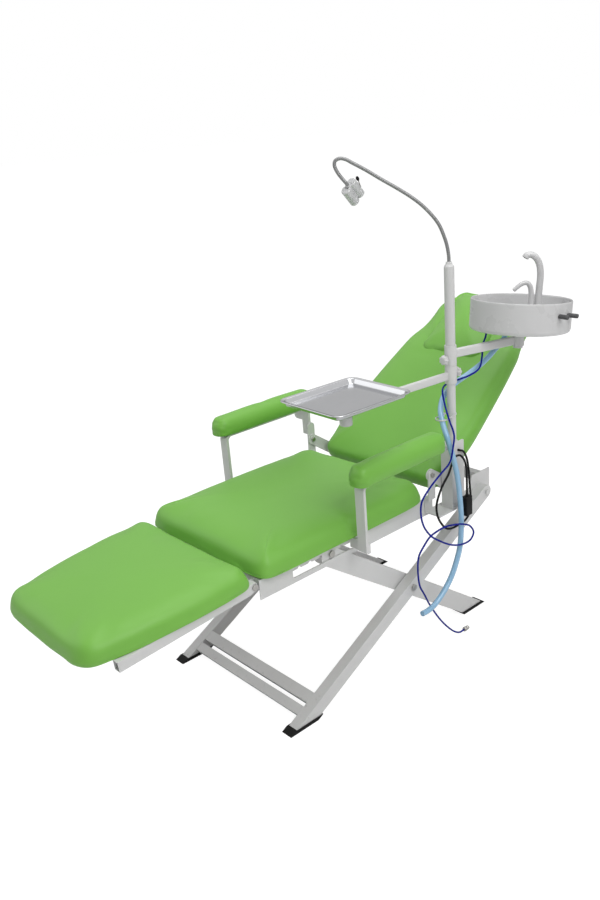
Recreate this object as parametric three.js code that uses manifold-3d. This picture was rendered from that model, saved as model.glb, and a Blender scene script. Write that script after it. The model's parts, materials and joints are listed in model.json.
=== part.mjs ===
// Portable folding dental chair with armrests, instrument tray, spittoon basin and lamp.
// Millimetres, +Z up. +X is the post side, +Y points to the head end.
import * as THREE from 'three';
import { mergeVertices } from 'three/addons/utils/BufferGeometryUtils.js';
import Module from 'manifold-3d';

const wasm = await Module();
wasm.setup();

const rad = THREE.MathUtils.degToRad;

// Clearances
const gap = 0.3;
const runningGap = 0.3;

// Side plates and cross tubes of the seat frame
const plateInner = 217;
const plateThickness = 3;
const seatFrameTop = 442;
const seatFrameBottom = 390;
const seatFrameFront = -325;
const seatPlateRear = 290;
const headPlateTop = 441;
const headPlateBottom = 365;
const headPlateRear = 550;
const sweepFloor = 404;
const crossTubeSize = 25;
const tubeWall = 2;

// Crossed legs
const legWidth = 30;
const frontLegDepth = 38;
const rearLegDepth = 52;
const frontPivot = [496.5, 389];
const frontFootY = -255.3;
const rearFootY = 476.8;
const slotPin = [-94, 418];
const pinAboveCentreline = [4.8, 6.8];
const pinRadius = 4;
const shaftRadius = 10;
const legBoltRadius = 5;
const shoeFloor = 5;
const shoeHeight = 9;
const shoeWall = 2.5;

// Slot with its locking notches
const slotFront = -222;
const slotRear = -10;
const slotBelowPin = 14;
const slotAbovePin = 5;
const notchRadius = 5.5;
const notchPitch = 35.5;
const notchesAhead = 3;
const notchesBehind = 2;

// Seat
const seatBoardThickness = 4.7;
const seatBesideBar = 11;
const seatFront = -328;
const seatRear = 262;
const seatThickness = 56;
const seatCrown = 12;

// Backrest, measured along its slope from the lower front edge
const backSlope = 34;
const backEdge = [281, 485];
const backHinge = [7.4, 28.8];
const backThickness = 46;
const backCrown = 4;
const backTubeSize = 24.7;
const backTubeStart = 30;
const backRailTop = 500;
const backRailOuter = 155;
const linkThickness = 4;
const linkInner = 231.5;
const linkRadius = 16;
const hingeBoltRadius = 4;
const pillowThickness = 26;
const pillowHalfWidth = 118;
const pillowSpan = [425, 690];
const pillowCorner = 36;

// Legrest, measured along its slope from the pivot
const legrestSlope = 4;
const legrestPivot = [-336, 428];
const legrestRailOuter = 216;
const legrestRailWidth = 20;
const legrestRailEnd = -370;
const legrestRodRadius = 5;
const legrestThickness = 49;

// Armrests
const armBarWidth = 30;
const armBarThickness = 8;
const armBarInner = 255;
const seatHalfWidth = armBarInner - seatBesideBar;
const armBarFront = -35;
const armBarBottom = 415;
const armTopLeft = 600;
const armTopRight = 612;
const padWidth = 60;
const padInner = armBarInner - 10;
const padThickness = 50;
const padFront = -58;
const padRearLeft = 266;
const padRearRight = 305;

// Post, its bracket and the two swinging arms
const postCentre = [256, 338];
const postRadius = 11.5;
const postWall = 1.5;
const postTop = 1040;
const shelfTop = 406;
const shelfBottom = 402;
const socketTop = 596;
const webTop = 600;
const bracketSheet = 4;
const collarRadius = 15.5;
const collarBelowArm = 21.3;
const collarAboveArm = 26.7;
const basinCollarHeight = 53.2;
const sleeveRadius = 13;
const sleeveTop = 1062;
const armSheet = 10;
const trayArmHeight = 22;
const trayPivot = [225, -20];
const basinArmHeight = 24;
const basinArmAboveCollar = 29.5;
const knobRadius = 13;

// Tray and basin
const trayWidth = 219;
const trayLength = 249;
const trayRim = 810;
const trayDepth = 15;
const trayFlange = 5.1;
const trayBottom = trayRim - trayDepth;
const trayArmTop = trayBottom - trayFlange - 2 * gap;
const trayArmCentre = trayArmTop - trayArmHeight / 2;
const trayCollar = [trayArmCentre - collarBelowArm, trayArmCentre + collarAboveArm];
const basinCollar = [trayCollar[1] + gap, trayCollar[1] + gap + basinCollarHeight];
const basinArmCentre = basinCollar[0] + basinArmAboveCollar;
const basinCentre = [318, 549];
const basinAboveCollar = 3;
const basinBottom = basinCollar[1] + basinAboveCollar;
const basinTilt = 6.4;
const basinRadius = 132;
const basinHeight = 83;
const basinWall = 4;
const basinFloor = 8;
const spoutDirection = 49.7;

// Lamp
const neckRadius = 4.5;
const neckHeading = [-0.647, -0.763];
const lampRadius = 11;
const lampLength = 55;
const lampSpacing = 23;
const lampPlace = [100.7, 154.9, 1273];

// Finishes
const white = () => new THREE.MeshStandardMaterial({ color: 0xcdcfcf, roughness: 0.42, metalness: 0.1 });
const steel = () => new THREE.MeshStandardMaterial({ color: 0xb9bcc0, roughness: 0.28, metalness: 0.95 });
const chrome = () => new THREE.MeshStandardMaterial({ color: 0xd6d8da, roughness: 0.1, metalness: 1 });
const green = () => new THREE.MeshStandardMaterial({ color: 0x6eb24b, roughness: 0.5, metalness: 0 });
const rubber = () => new THREE.MeshStandardMaterial({ color: 0x1d1d1e, roughness: 0.85, metalness: 0 });
const plastic = () => new THREE.MeshStandardMaterial({ color: 0xd8d9da, roughness: 0.35, metalness: 0 });
const dark = () => new THREE.MeshStandardMaterial({ color: 0x3a3b3d, roughness: 0.45, metalness: 0.4 });
const wood = () => new THREE.MeshStandardMaterial({ color: 0xa9855a, roughness: 0.7, metalness: 0 });
const paleBlue = () => new THREE.MeshStandardMaterial({ color: 0x86abc6, roughness: 0.3, metalness: 0 });
const deepBlue = () => new THREE.MeshStandardMaterial({ color: 0x1b2a7d, roughness: 0.35, metalness: 0 });

// Solids: joining and cutting
function toSolid(geometry) {
  const bare = geometry.clone();
  for (const name of Object.keys(bare.attributes)) {
    if (name !== 'position') bare.deleteAttribute(name);
  }
  const merged = mergeVertices(bare, 1e-4);
  return new wasm.Manifold(new wasm.Mesh({
    numProp: 3,
    vertProperties: Float32Array.from(merged.attributes.position.array),
    triVerts: Uint32Array.from(merged.index.array),
  }));
}

function fromSolid(solid) {
  const mesh = solid.getMesh();
  const geometry = new THREE.BufferGeometry();
  geometry.setAttribute('position', new THREE.BufferAttribute(Float32Array.from(mesh.vertProperties), 3));
  geometry.setIndex(Array.from(mesh.triVerts));
  return geometry;
}

function join(...geometries) {
  return fromSolid(geometries.map(toSolid).reduce((whole, piece) => whole.add(piece)));
}

function cut(geometry, ...tools) {
  return fromSolid(tools.map(toSolid).reduce((whole, tool) => whole.subtract(tool), toSolid(geometry)));
}

function keepInside(geometry, limit) {
  return fromSolid(toSolid(geometry).intersect(toSolid(limit)));
}

// Basic shapes
function block(x0, x1, y0, y1, z0, z1) {
  const box = new THREE.BoxGeometry(x1 - x0, y1 - y0, z1 - z0);
  return box.translate((x0 + x1) / 2, (y0 + y1) / 2, (z0 + z1) / 2);
}

function rodX(x0, x1, [y, z], radius, sides = 16) {
  const rod = new THREE.CylinderGeometry(radius, radius, x1 - x0, sides);
  return rod.rotateZ(-Math.PI / 2).translate((x0 + x1) / 2, y, z);
}

function rodZ([x, y], z0, z1, radius, sides = 20) {
  const rod = new THREE.CylinderGeometry(radius, radius, z1 - z0, sides);
  return rod.rotateX(Math.PI / 2).translate(x, y, (z0 + z1) / 2);
}

// A turned piece whose profile of [radius, height] pairs starts and ends on the axis.
function turned(profile, sides = 20) {
  const points = profile.map(([radius, height]) => new THREE.Vector2(radius, height));
  return new THREE.LatheGeometry(points, sides).rotateX(Math.PI / 2);
}

// The same turned along X from the middle outwards, on the side that sign gives.
function turnedX(profile, [y, z], sign, sides = 12) {
  return turned(profile, sides).rotateY(sign * Math.PI / 2).translate(0, y, z);
}

function shapeOf(points, holes = []) {
  const shape = new THREE.Shape(points.map(([a, b]) => new THREE.Vector2(a, b)));
  shape.holes = holes.map((hole) => new THREE.Path(hole.map(([a, b]) => new THREE.Vector2(a, b))));
  return shape;
}

function extruded(points, depth, holes) {
  return new THREE.ExtrudeGeometry(shapeOf(points, holes), { depth, bevelEnabled: false });
}

// A sheet cut in the side view, from [y, z] points, between two x values.
function sideSheet(points, x0, x1, holes) {
  const basis = new THREE.Matrix4().makeBasis(
    new THREE.Vector3(0, 1, 0), new THREE.Vector3(0, 0, 1), new THREE.Vector3(1, 0, 0));
  return extruded(points, x1 - x0, holes).applyMatrix4(basis).translate(x0, 0, 0);
}

// A sheet cut in the front view, from [x, z] points, between two y values.
function frontSheet(points, y0, y1) {
  return extruded(points, y1 - y0).rotateX(Math.PI / 2).translate(0, y1, 0);
}

function arcPoints([a, b], radius, from, to, steps) {
  const points = [];
  for (let step = 0; step <= steps; step += 1) {
    const angle = rad(from + (to - from) * step / steps);
    points.push([a + radius * Math.cos(angle), b + radius * Math.sin(angle)]);
  }
  return points;
}

function roundedRectangle(x0, x1, y0, y1, radius, steps = 6) {
  return [
    ...arcPoints([x1 - radius, y0 + radius], radius, -90, 0, steps),
    ...arcPoints([x1 - radius, y1 - radius], radius, 0, 90, steps),
    ...arcPoints([x0 + radius, y1 - radius], radius, 90, 180, steps),
    ...arcPoints([x0 + radius, y0 + radius], radius, 180, 270, steps),
  ];
}

// The band round two circles, as a belt lies round two pulleys.
function beltOutline(centreA, radiusA, centreB, radiusB, steps = 12) {
  const dx = centreB[0] - centreA[0];
  const dy = centreB[1] - centreA[1];
  const heading = THREE.MathUtils.radToDeg(Math.atan2(dy, dx));
  const lean = THREE.MathUtils.radToDeg(Math.acos((radiusA - radiusB) / Math.hypot(dx, dy)));
  return [
    ...arcPoints(centreB, radiusB, heading - lean, heading + lean, steps),
    ...arcPoints(centreA, radiusA, heading + lean, heading + 360 - lean, steps),
  ];
}

function capsuleOutline(centreA, centreB, radius, steps = 12) {
  return beltOutline(centreA, radius, centreB, radius, steps);
}

// A smooth closed outline through half of a symmetric shape, given from the low end to the high end.
function mirroredOutline(half, count) {
  const points = [
    ...half.map(([x, y]) => new THREE.Vector3(x, y, 0)),
    ...half.slice().reverse().filter(([x]) => x > 0).map(([x, y]) => new THREE.Vector3(-x, y, 0)),
  ];
  const curve = new THREE.CatmullRomCurve3(points, true, 'centripetal');
  return curve.getSpacedPoints(count).slice(0, count).map(({ x, y }) => [x, y]);
}

// A solid of stacked rings inside one outline. A ring is [inset, height, scale].
function layered(outline, rings) {
  const count = outline.length;
  const middle = [0, 1].map((axis) => outline.reduce((sum, point) => sum + point[axis], 0) / count);
  const inward = outline.map((point, index) => {
    const before = outline[(index + count - 1) % count];
    const after = outline[(index + 1) % count];
    const length = Math.hypot(after[0] - before[0], after[1] - before[1]);
    return [-(after[1] - before[1]) / length, (after[0] - before[0]) / length];
  });
  const positions = [];
  for (const [inset, height, scale = 1] of rings) {
    outline.forEach(([x, y], index) => {
      const px = x + inward[index][0] * inset;
      const py = y + inward[index][1] * inset;
      positions.push(middle[0] + (px - middle[0]) * scale, middle[1] + (py - middle[1]) * scale, height);
    });
  }
  const low = positions.length / 3;
  positions.push(middle[0], middle[1], rings[0][1]);
  positions.push(middle[0], middle[1], rings[rings.length - 1][3] ?? rings[rings.length - 1][1]);
  const faces = [];
  for (let index = 0; index < count; index += 1) {
    const next = (index + 1) % count;
    faces.push(low, next, index);
    const top = (rings.length - 1) * count;
    faces.push(low + 1, top + index, top + next);
    for (let ring = 0; ring < rings.length - 1; ring += 1) {
      const a = ring * count;
      const b = a + count;
      faces.push(a + index, a + next, b + next, a + index, b + next, b + index);
    }
  }
  const geometry = new THREE.BufferGeometry();
  geometry.setAttribute('position', new THREE.Float32BufferAttribute(positions, 3));
  geometry.setIndex(faces);
  return geometry;
}

// A cushion: rolled edges, sides drawn in at half height, and a crown on top.
function cushion(outline, bottom, thickness, crown, roll, drawn = 2) {
  const top = bottom + thickness;
  return layered(outline, [
    [roll * 0.6, bottom],
    [roll * 0.1, bottom + roll * 0.4],
    [0, bottom + roll * 0.8],
    [drawn, bottom + thickness * 0.48],
    [0, top - roll * 0.85],
    [roll * 0.25, top - roll * 0.35],
    [roll, top],
    [roll, top + crown * 0.45, 0.8],
    [roll, top + crown * 0.85, 0.45, top + crown],
  ]);
}

// A round bar along a curve; its radius runs evenly from the first value to the second.
function sweep(points, startRadius, endRadius, sides, steps) {
  const curve = new THREE.CatmullRomCurve3(points.map((point) => new THREE.Vector3(...point)), false, 'centripetal');
  const frames = curve.computeFrenetFrames(steps, false);
  const positions = [];
  const faces = [];
  for (let step = 0; step <= steps; step += 1) {
    const centre = curve.getPointAt(step / steps);
    const radius = startRadius + (endRadius - startRadius) * step / steps;
    for (let side = 0; side < sides; side += 1) {
      const angle = 2 * Math.PI * side / sides;
      const point = centre.clone()
        .addScaledVector(frames.normals[step], radius * Math.cos(angle))
        .addScaledVector(frames.binormals[step], radius * Math.sin(angle));
      positions.push(point.x, point.y, point.z);
    }
  }
  const ends = [curve.getPointAt(0), curve.getPointAt(1)];
  const first = positions.length / 3;
  ends.forEach(({ x, y, z }) => positions.push(x, y, z));
  for (let side = 0; side < sides; side += 1) {
    const next = (side + 1) % sides;
    faces.push(first, next, side);
    faces.push(first + 1, steps * sides + side, steps * sides + next);
    for (let step = 0; step < steps; step += 1) {
      const a = step * sides;
      const b = a + sides;
      faces.push(a + side, a + next, b + next, a + side, b + next, b + side);
    }
  }
  const geometry = new THREE.BufferGeometry();
  geometry.setAttribute('position', new THREE.Float32BufferAttribute(positions, 3));
  geometry.setIndex(faces);
  return geometry;
}

// A cord or hose of one thickness along its route.
function tubeAlong(points, radius, sides, steps) {
  const route = new THREE.CatmullRomCurve3(points.map((point) => new THREE.Vector3(...point)), false, 'centripetal');
  const section = new THREE.Shape(Array.from({ length: sides }, (unused, side) => {
    const angle = 2 * Math.PI * side / sides;
    return new THREE.Vector2(radius * Math.cos(angle), radius * Math.sin(angle));
  }));
  return new THREE.ExtrudeGeometry(section, { steps, extrudePath: route, bevelEnabled: false });
}

// A hollow square tube across the chair, centred on [y, z].
function crossTube(halfLength, [y, z], depth, height) {
  const outer = block(-halfLength, halfLength, -depth / 2, depth / 2, -height / 2, height / 2);
  const inner = block(-halfLength - 1, halfLength + 1, tubeWall - depth / 2, depth / 2 - tubeWall,
    tubeWall - height / 2, height / 2 - tubeWall);
  return cut(outer, inner).translate(0, y, z);
}

const chair = new THREE.Group();
const frame = new THREE.Group();
chair.add(frame);

function add(group, name, geometry, material) {
  const mesh = new THREE.Mesh(geometry, material);
  mesh.name = name;
  group.add(mesh);
  return mesh;
}

const sides = [['left', 1], ['right', -1]];

// Orders a pair of distances from the middle as x values on one side.
function span(sign, a, b) {
  return sign > 0 ? [a, b] : [-b, -a];
}

// A bolt along X through two pieces, with its hexagonal head outside and its nut inside.
function boltX(sign, nutFace, headFace, centre, radius, grip) {
  return join(
    rodX(...span(sign, nutFace - grip, headFace + grip), centre, radius, 12),
    rodX(...span(sign, nutFace - grip, nutFace), centre, radius * 1.8, 6),
    rodX(...span(sign, headFace, headFace + grip), centre, radius * 1.8, 6),
  );
}

// Side plates with the notched slot and the stud that the front leg turns on
const plateOuter = plateInner + plateThickness;
const slotTop = slotPin[1] + slotAbovePin;
const slotBottom = slotPin[1] - slotBelowPin;

function slotOutline() {
  const points = [[slotFront, slotBottom], [slotRear, slotBottom], [slotRear, slotTop]];
  for (let notch = notchesBehind; notch >= -notchesAhead; notch -= 1) {
    const centre = [slotPin[0] + notch * notchPitch, slotTop - 1];
    points.push(...arcPoints(centre, notchRadius, 12, 168, 6));
  }
  points.push([slotFront, slotTop]);
  return points;
}

const plateOutline = [
  [seatFrameFront, seatFrameBottom], [300, seatFrameBottom], [330, headPlateBottom],
  [headPlateRear, headPlateBottom], [headPlateRear, headPlateTop], [468, headPlateTop],
  [455, sweepFloor], [seatPlateRear + 4, sweepFloor], [seatPlateRear, seatFrameTop],
  [seatFrameFront, seatFrameTop],
];
const frontLegInner = plateOuter + gap;
const frontLegOuter = frontLegInner + legWidth;
const legBoltGrip = 6;
for (const [side, sign] of sides) {
  const plate = sideSheet(plateOutline, ...span(sign, plateInner, plateOuter), [slotOutline()]);
  const pivotStud = boltX(sign, plateInner + 1, frontLegOuter + gap, frontPivot, legBoltRadius, legBoltGrip);
  add(frame, `side_plate_${side}`, join(plate, pivotStud), white());
}

// Cross tubes between the plates; the front one carries the legrest lugs
const crossTubeHalf = plateInner - gap;
const crossTubeHeight = seatFrameTop - crossTubeSize / 2;
const frontTubeY = -309.5;
const legrestRailInner = legrestRailOuter - legrestRailWidth;
const lugThickness = 5.7;
const lugRadius = 9;

function legrestLug(sign) {
  const tubeFace = frontTubeY - crossTubeSize / 2;
  const [x0, x1] = span(sign, legrestRailInner - gap - lugThickness, legrestRailInner - gap);
  const outline = [
    ...arcPoints(legrestPivot, lugRadius, 90, 270, 8),
    [tubeFace + 1, legrestPivot[1] - lugRadius], [tubeFace + 1, legrestPivot[1] + lugRadius],
  ];
  return sideSheet(outline, x0, x1);
}

const rodHole = rodX(-plateInner, plateInner, legrestPivot, legrestRodRadius + runningGap, 12);
const frontTube = join(crossTube(crossTubeHalf, [frontTubeY, crossTubeHeight], crossTubeSize, crossTubeSize),
  legrestLug(1), legrestLug(-1));
add(frame, 'front_cross_tube', cut(frontTube, rodHole), white());
add(frame, 'rear_cross_tube', crossTube(crossTubeHalf, [227.5, crossTubeHeight], crossTubeSize, crossTubeSize), white());
add(frame, 'head_cross_tube', crossTube(crossTubeHalf, [532.5, 412.5], crossTubeSize, crossTubeSize), white());

const rodHead = 3.4;
const pivotRod = join(rodX(-legrestRailOuter - gap - 1, legrestRailOuter + gap + 1, legrestPivot, legrestRodRadius, 12),
  ...sides.map(([, sign]) => rodX(...span(sign, legrestRailOuter + gap, legrestRailOuter + gap + rodHead),
    legrestPivot, 8, 12)));
add(frame, 'legrest_pivot_rod', pivotRod, steel());

// Seat board and cushion
const boardBottom = seatFrameTop + gap;
const boardTop = boardBottom + seatBoardThickness;
const boardHalfWidth = seatHalfWidth - 29;
const boardInset = 6;
const boardOutline = roundedRectangle(-boardHalfWidth, boardHalfWidth, seatFront + boardInset, seatRear - boardInset, 30);
const board = extruded(boardOutline, seatBoardThickness).translate(0, 0, boardBottom);
add(frame, 'seat_board', board, wood());
const seatOutline = roundedRectangle(-seatHalfWidth, seatHalfWidth, seatFront, seatRear, 42, 7);
add(frame, 'seat_cushion', cushion(seatOutline, boardTop + gap, seatThickness, seatCrown, 22), green());

// Hinge of the backrest: an angle bracket on each plate, and the bolt through bracket and link
const slopeCos = Math.cos(rad(backSlope));
const slopeSin = Math.sin(rad(backSlope));
const backAxis = [
  backEdge[0] + backHinge[0] * slopeCos - backHinge[1] * slopeSin,
  backEdge[1] + backHinge[0] * slopeSin + backHinge[1] * slopeCos,
];
const linkOuter = linkInner + linkThickness;
const uprightInner = linkOuter + 0.5;
const uprightOuter = uprightInner + bracketSheet;
const uprightHalf = 13.5;

function hingeBracket(sign, top) {
  const footTop = boardBottom + bracketSheet;
  const outline = [
    [backAxis[0] - uprightHalf - 2, boardBottom], [backAxis[0] + uprightHalf - 2, boardBottom],
    ...arcPoints([backAxis[0], top - uprightHalf], uprightHalf, 0, 180, 10),
  ];
  const upright = sideSheet(outline, ...span(sign, uprightInner, uprightOuter));
  const [x0, x1] = span(sign, plateInner, uprightOuter);
  const foot = block(x0, x1, backAxis[0] - uprightHalf, backAxis[0] + uprightHalf - 2, boardBottom, footTop);
  const hole = rodX(...span(sign, uprightInner - 1, uprightOuter + 1), backAxis, hingeBoltRadius + gap, 12);
  return cut(join(upright, foot), hole);
}

const uprightTops = { left: 528, right: 566 };
for (const [side, sign] of sides) {
  add(frame, `hinge_bracket_${side}`, hingeBracket(sign, uprightTops[side]), white());
  add(frame, `hinge_bolt_${side}`, boltX(sign, linkInner - gap, uprightOuter + gap, backAxis, hingeBoltRadius, 5), steel());
}

// Armrests: one bent flat bar each, welded to a lug on the side plate
function armBar(sign, top, rear, ...welded) {
  const [x0, x1] = span(sign, armBarInner, armBarInner + armBarWidth);
  const back = armBarFront + armBarThickness;
  const bend = 12;
  const outline = [
    [armBarFront, armBarBottom], [back, armBarBottom],
    ...arcPoints([back + bend, top - armBarThickness - bend], bend, 180, 90, 6),
    [rear, top - armBarThickness], [rear, top],
    ...arcPoints([back + bend, top - armBarThickness - bend], bend + armBarThickness, 90, 180, 8),
  ];
  const [lug0, lug1] = span(sign, plateOuter + gap, armBarInner + armBarWidth);
  const lug = block(lug0, lug1, back - 1, back + 7, armBarBottom - 3, armBarBottom + 25);
  return join(sideSheet(outline, x0, x1), lug, ...welded);
}

const webFront = 312;
add(frame, 'armrest_bar_left', armBar(1, armTopLeft, webFront - gap), white());
const rearPlateFace = uprightOuter + gap;
const rearPlateTop = armTopRight - armBarThickness + 1;
const rearPlate = frontSheet([
  [-rearPlateFace, 526], [-rearPlateFace, rearPlateTop], [-305, rearPlateTop], [-305, 588],
  ...arcPoints([-293, 582], 12, 180, 270, 5), [-270, 570], [-270, 526],
], 267, 275);
add(frame, 'armrest_bar_right', armBar(-1, armTopRight, 280, rearPlate), white());

function armPad(sign, top, rear) {
  const [x0, x1] = span(sign, padInner, padInner + padWidth);
  const outline = roundedRectangle(x0, x1, padFront, rear, 22, 4);
  return cushion(outline, top + gap, padThickness, 4, 18, 1);
}

add(frame, 'armrest_pad_left', armPad(1, armTopLeft, padRearLeft), green());
add(frame, 'armrest_pad_right', armPad(-1, armTopRight, padRearRight), green());

// Post bracket: flange on the side plate, shelf, web, outer flange and socket tube
const socketBore = postRadius + gap;
const socketRadius = 15;
const webX = [238, 276];
const flangeY = [258, 288];
const flangeOuter = plateOuter + gap + bracketSheet;
const bracketBody = join(
  block(plateOuter + gap, flangeOuter, flangeY[0], flangeY[1], shelfBottom, seatFrameTop - 1),
  block(plateOuter + gap, webX[1], flangeY[0], 353, shelfBottom, shelfTop),
  block(webX[0], webX[1], webFront, webFront + bracketSheet, shelfBottom, webTop),
  block(webX[1] - 6, webX[1], webFront + bracketSheet - 1, 362, 423, socketTop),
  rodZ(postCentre, shelfBottom, socketTop, socketRadius),
);
add(frame, 'post_bracket', cut(bracketBody, rodZ(postCentre, shelfTop, socketTop + 1, socketBore)), white());

const post = cut(rodZ(postCentre, shelfTop + gap, postTop, postRadius),
  rodZ(postCentre, shelfTop - 1, postTop + 1, postRadius - postWall));
add(frame, 'post', post, white());

// Crossed legs
const crossing = (() => {
  const rearTop = [slotPin[0] - pinAboveCentreline[0], slotPin[1] - pinAboveCentreline[1]];
  const frontRate = (frontPivot[0] - frontFootY) / frontPivot[1];
  const rearRate = (rearTop[0] - rearFootY) / rearTop[1];
  const z = (rearFootY - frontFootY) / (frontRate - rearRate);
  return { rearTop, bolt: [frontFootY + frontRate * z, z] };
})();

// Side view of a leg: cut level at the foot, round at the top.
function legOutline(top, footY, half, cutHeight) {
  const length = Math.hypot(top[0] - footY, top[1]);
  const along = [(top[0] - footY) / length, top[1] / length];
  const across = [-along[1], along[0]];
  const footPoint = (edge) => {
    const start = [top[0] + across[0] * edge, top[1] + across[1] * edge];
    const reach = (start[1] - cutHeight) / along[1];
    return [start[0] - along[0] * reach, cutHeight];
  };
  const tip = Array.from({ length: 13 }, (unused, step) => {
    const angle = rad(-90 + 180 * step / 12);
    return [0, 1].map((axis) => top[axis] + half * (along[axis] * Math.cos(angle) + across[axis] * Math.sin(angle)));
  });
  return [footPoint(-half), ...tip, footPoint(half)];
}

function leg(sign, inner, top, footY, half, holes) {
  const [x0, x1] = span(sign, inner, inner + legWidth);
  const outer = sideSheet(legOutline(top, footY, half, shoeFloor + gap), x0, x1);
  const hollow = sideSheet(legOutline(top, footY, half - tubeWall, shoeFloor - 5), x0 + tubeWall, x1 - tubeWall);
  return cut(outer, hollow, ...holes.map(([centre, radius]) => rodX(x0 - 1, x1 + 1, centre, radius + runningGap)));
}

function shoe(sign, inner, top, footY, half) {
  const [x0, x1] = span(sign, inner, inner + legWidth);
  const grown = gap + shoeWall;
  const outer = keepInside(sideSheet(legOutline(top, footY, half + grown, -20), x0 - grown, x1 + grown),
    block(x0 - 50, x1 + 50, -900, 900, 0, shoeHeight));
  return cut(outer, sideSheet(legOutline(top, footY, half + gap, shoeFloor), x0 - gap, x1 + gap));
}

const rearLegOuter = plateInner - gap;
const rearLegInner = rearLegOuter - legWidth;
for (const [side, sign] of sides) {
  add(frame, `front_leg_${side}`, leg(sign, frontLegInner, frontPivot, frontFootY, frontLegDepth / 2,
    [[frontPivot, legBoltRadius], [crossing.bolt, legBoltRadius]]), white());
  add(frame, `rear_leg_${side}`, leg(sign, rearLegInner, crossing.rearTop, rearFootY, rearLegDepth / 2,
    [[slotPin, pinRadius], [crossing.bolt, legBoltRadius]]), white());
  add(frame, `front_shoe_${side}`, shoe(sign, frontLegInner, frontPivot, frontFootY, frontLegDepth / 2), rubber());
  add(frame, `rear_shoe_${side}`, shoe(sign, rearLegInner, crossing.rearTop, rearFootY, rearLegDepth / 2), rubber());
}

// Crossbars between the front legs, flush with their upper faces
const frontLegAngle = Math.atan2(frontPivot[1], frontPivot[0] - frontFootY);
const crossbarDepth = 16;

function crossbar(from, to) {
  const middle = frontLegDepth / 2 - crossbarDepth / 2;
  const bar = crossTube(frontLegInner - gap, [(from + to) / 2, middle], to - from, crossbarDepth);
  return bar.rotateX(frontLegAngle).translate(0, frontFootY, 0);
}

add(frame, 'upper_crossbar', crossbar(54, 86), white());
add(frame, 'lower_crossbar', crossbar(16, 42), white());

// Bolts of the scissor legs, with a spacer between them
for (const [side, sign] of sides) {
  const crossBolt = boltX(sign, rearLegInner - gap, frontLegOuter + gap, crossing.bolt, legBoltRadius, legBoltGrip);
  const spacer = rodX(...span(sign, rearLegOuter + gap, frontLegInner - gap), crossing.bolt, 9);
  add(frame, `leg_cross_bolt_${side}`, join(crossBolt, spacer), steel());
}

// Shaft in the slots, with a ring on each end
const pinEnd = plateOuter + 6;
const slotShaft = join(
  rodX(-rearLegInner + gap, rearLegInner - gap, slotPin, shaftRadius),
  rodX(-pinEnd, pinEnd, slotPin, pinRadius, 12),
  ...sides.map(([, sign]) => rodX(...span(sign, plateOuter + gap, pinEnd - 1), slotPin, 9)),
);
add(frame, 'slot_shaft', slotShaft, steel());

// Backrest, in its own sloping frame
const backrest = new THREE.Group();
backrest.position.set(0, backEdge[0], backEdge[1]);
backrest.rotation.x = rad(backSlope);
frame.add(backrest);

const backOutline = mirroredOutline([
  [0, 0], [120, 0], [190, 0], [214, 8], [226, 34], [232, 70], [241, 115], [247, 160], [245, 215], [239, 280],
  [229, 370], [218, 440], [205, 500], [186, 544], [180, 590], [176, 640], [146, 680], [98, 700], [45, 706], [0, 707],
], 56);
const backBottom = -backThickness - backCrown;
add(backrest, 'backrest_cushion', cushion(backOutline, backBottom, backThickness, backCrown, 20), green());
const pillowOutline = roundedRectangle(-pillowHalfWidth, pillowHalfWidth, ...pillowSpan, pillowCorner, 5);
add(backrest, 'head_pillow', cushion(pillowOutline, gap, pillowThickness, 8, 18, 1), green());

const backTubeCentre = backBottom - gap - backTubeSize / 2;
const lowerTubeCentre = [backTubeStart + backTubeSize / 2, backTubeCentre];
const railStart = backTubeStart + backTubeSize + gap;

function backRail(sign) {
  const [x0, x1] = span(sign, backRailOuter - backTubeSize, backRailOuter);
  const z0 = backTubeCentre - backTubeSize / 2;
  return cut(block(x0, x1, railStart, backRailTop, z0, z0 + backTubeSize),
    block(x0 + tubeWall, x1 - tubeWall, railStart - 1, backRailTop + 1, z0 + tubeWall, z0 + backTubeSize - tubeWall));
}

for (const [side, sign] of sides) {
  add(backrest, `backrest_rail_${side}`, backRail(sign), white());
}
add(backrest, 'backrest_upper_tube', crossTube(backRailOuter,
  [backRailTop + gap + backTubeSize / 2, backTubeCentre], backTubeSize, backTubeSize), white());

function backLink(sign) {
  const [x0, x1] = span(sign, linkInner, linkOuter);
  const plate = sideSheet(capsuleOutline(backHinge, lowerTubeCentre, linkRadius), x0, x1);
  return cut(plate, rodX(x0 - 1, x1 + 1, backHinge, hingeBoltRadius + runningGap, 12));
}

const yokeTube = crossTube(linkInner + 1, lowerTubeCentre, backTubeSize, backTubeSize);
const ventHole = rodZ([0, lowerTubeCentre[0]], lowerTubeCentre[1] - backTubeSize, lowerTubeCentre[1], 3, 12);
add(backrest, 'backrest_yoke', cut(join(yokeTube, backLink(1), backLink(-1)), ventHole), white());

// Legrest, in its own sloping frame
const legrest = new THREE.Group();
legrest.position.set(0, legrestPivot[0], legrestPivot[1]);
legrest.rotation.x = rad(legrestSlope);
frame.add(legrest);

const railTop = 10;
const railBottom = -15;

function legrestRail(sign) {
  const [x0, x1] = span(sign, legrestRailInner, legrestRailOuter);
  const outline = [
    [legrestRailEnd, railBottom], [-16, railBottom], [0, -11], [8, -6], [8, 8], [4, railTop], [legrestRailEnd, railTop],
  ];
  const hollow = block(x0 + tubeWall, x1 - tubeWall, legrestRailEnd - 1, -20, railBottom + tubeWall, railTop - tubeWall);
  const hole = rodX(x0 - 1, x1 + 1, [0, 0], legrestRodRadius + runningGap, 12);
  return cut(sideSheet(outline, x0, x1), hollow, hole);
}

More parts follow.
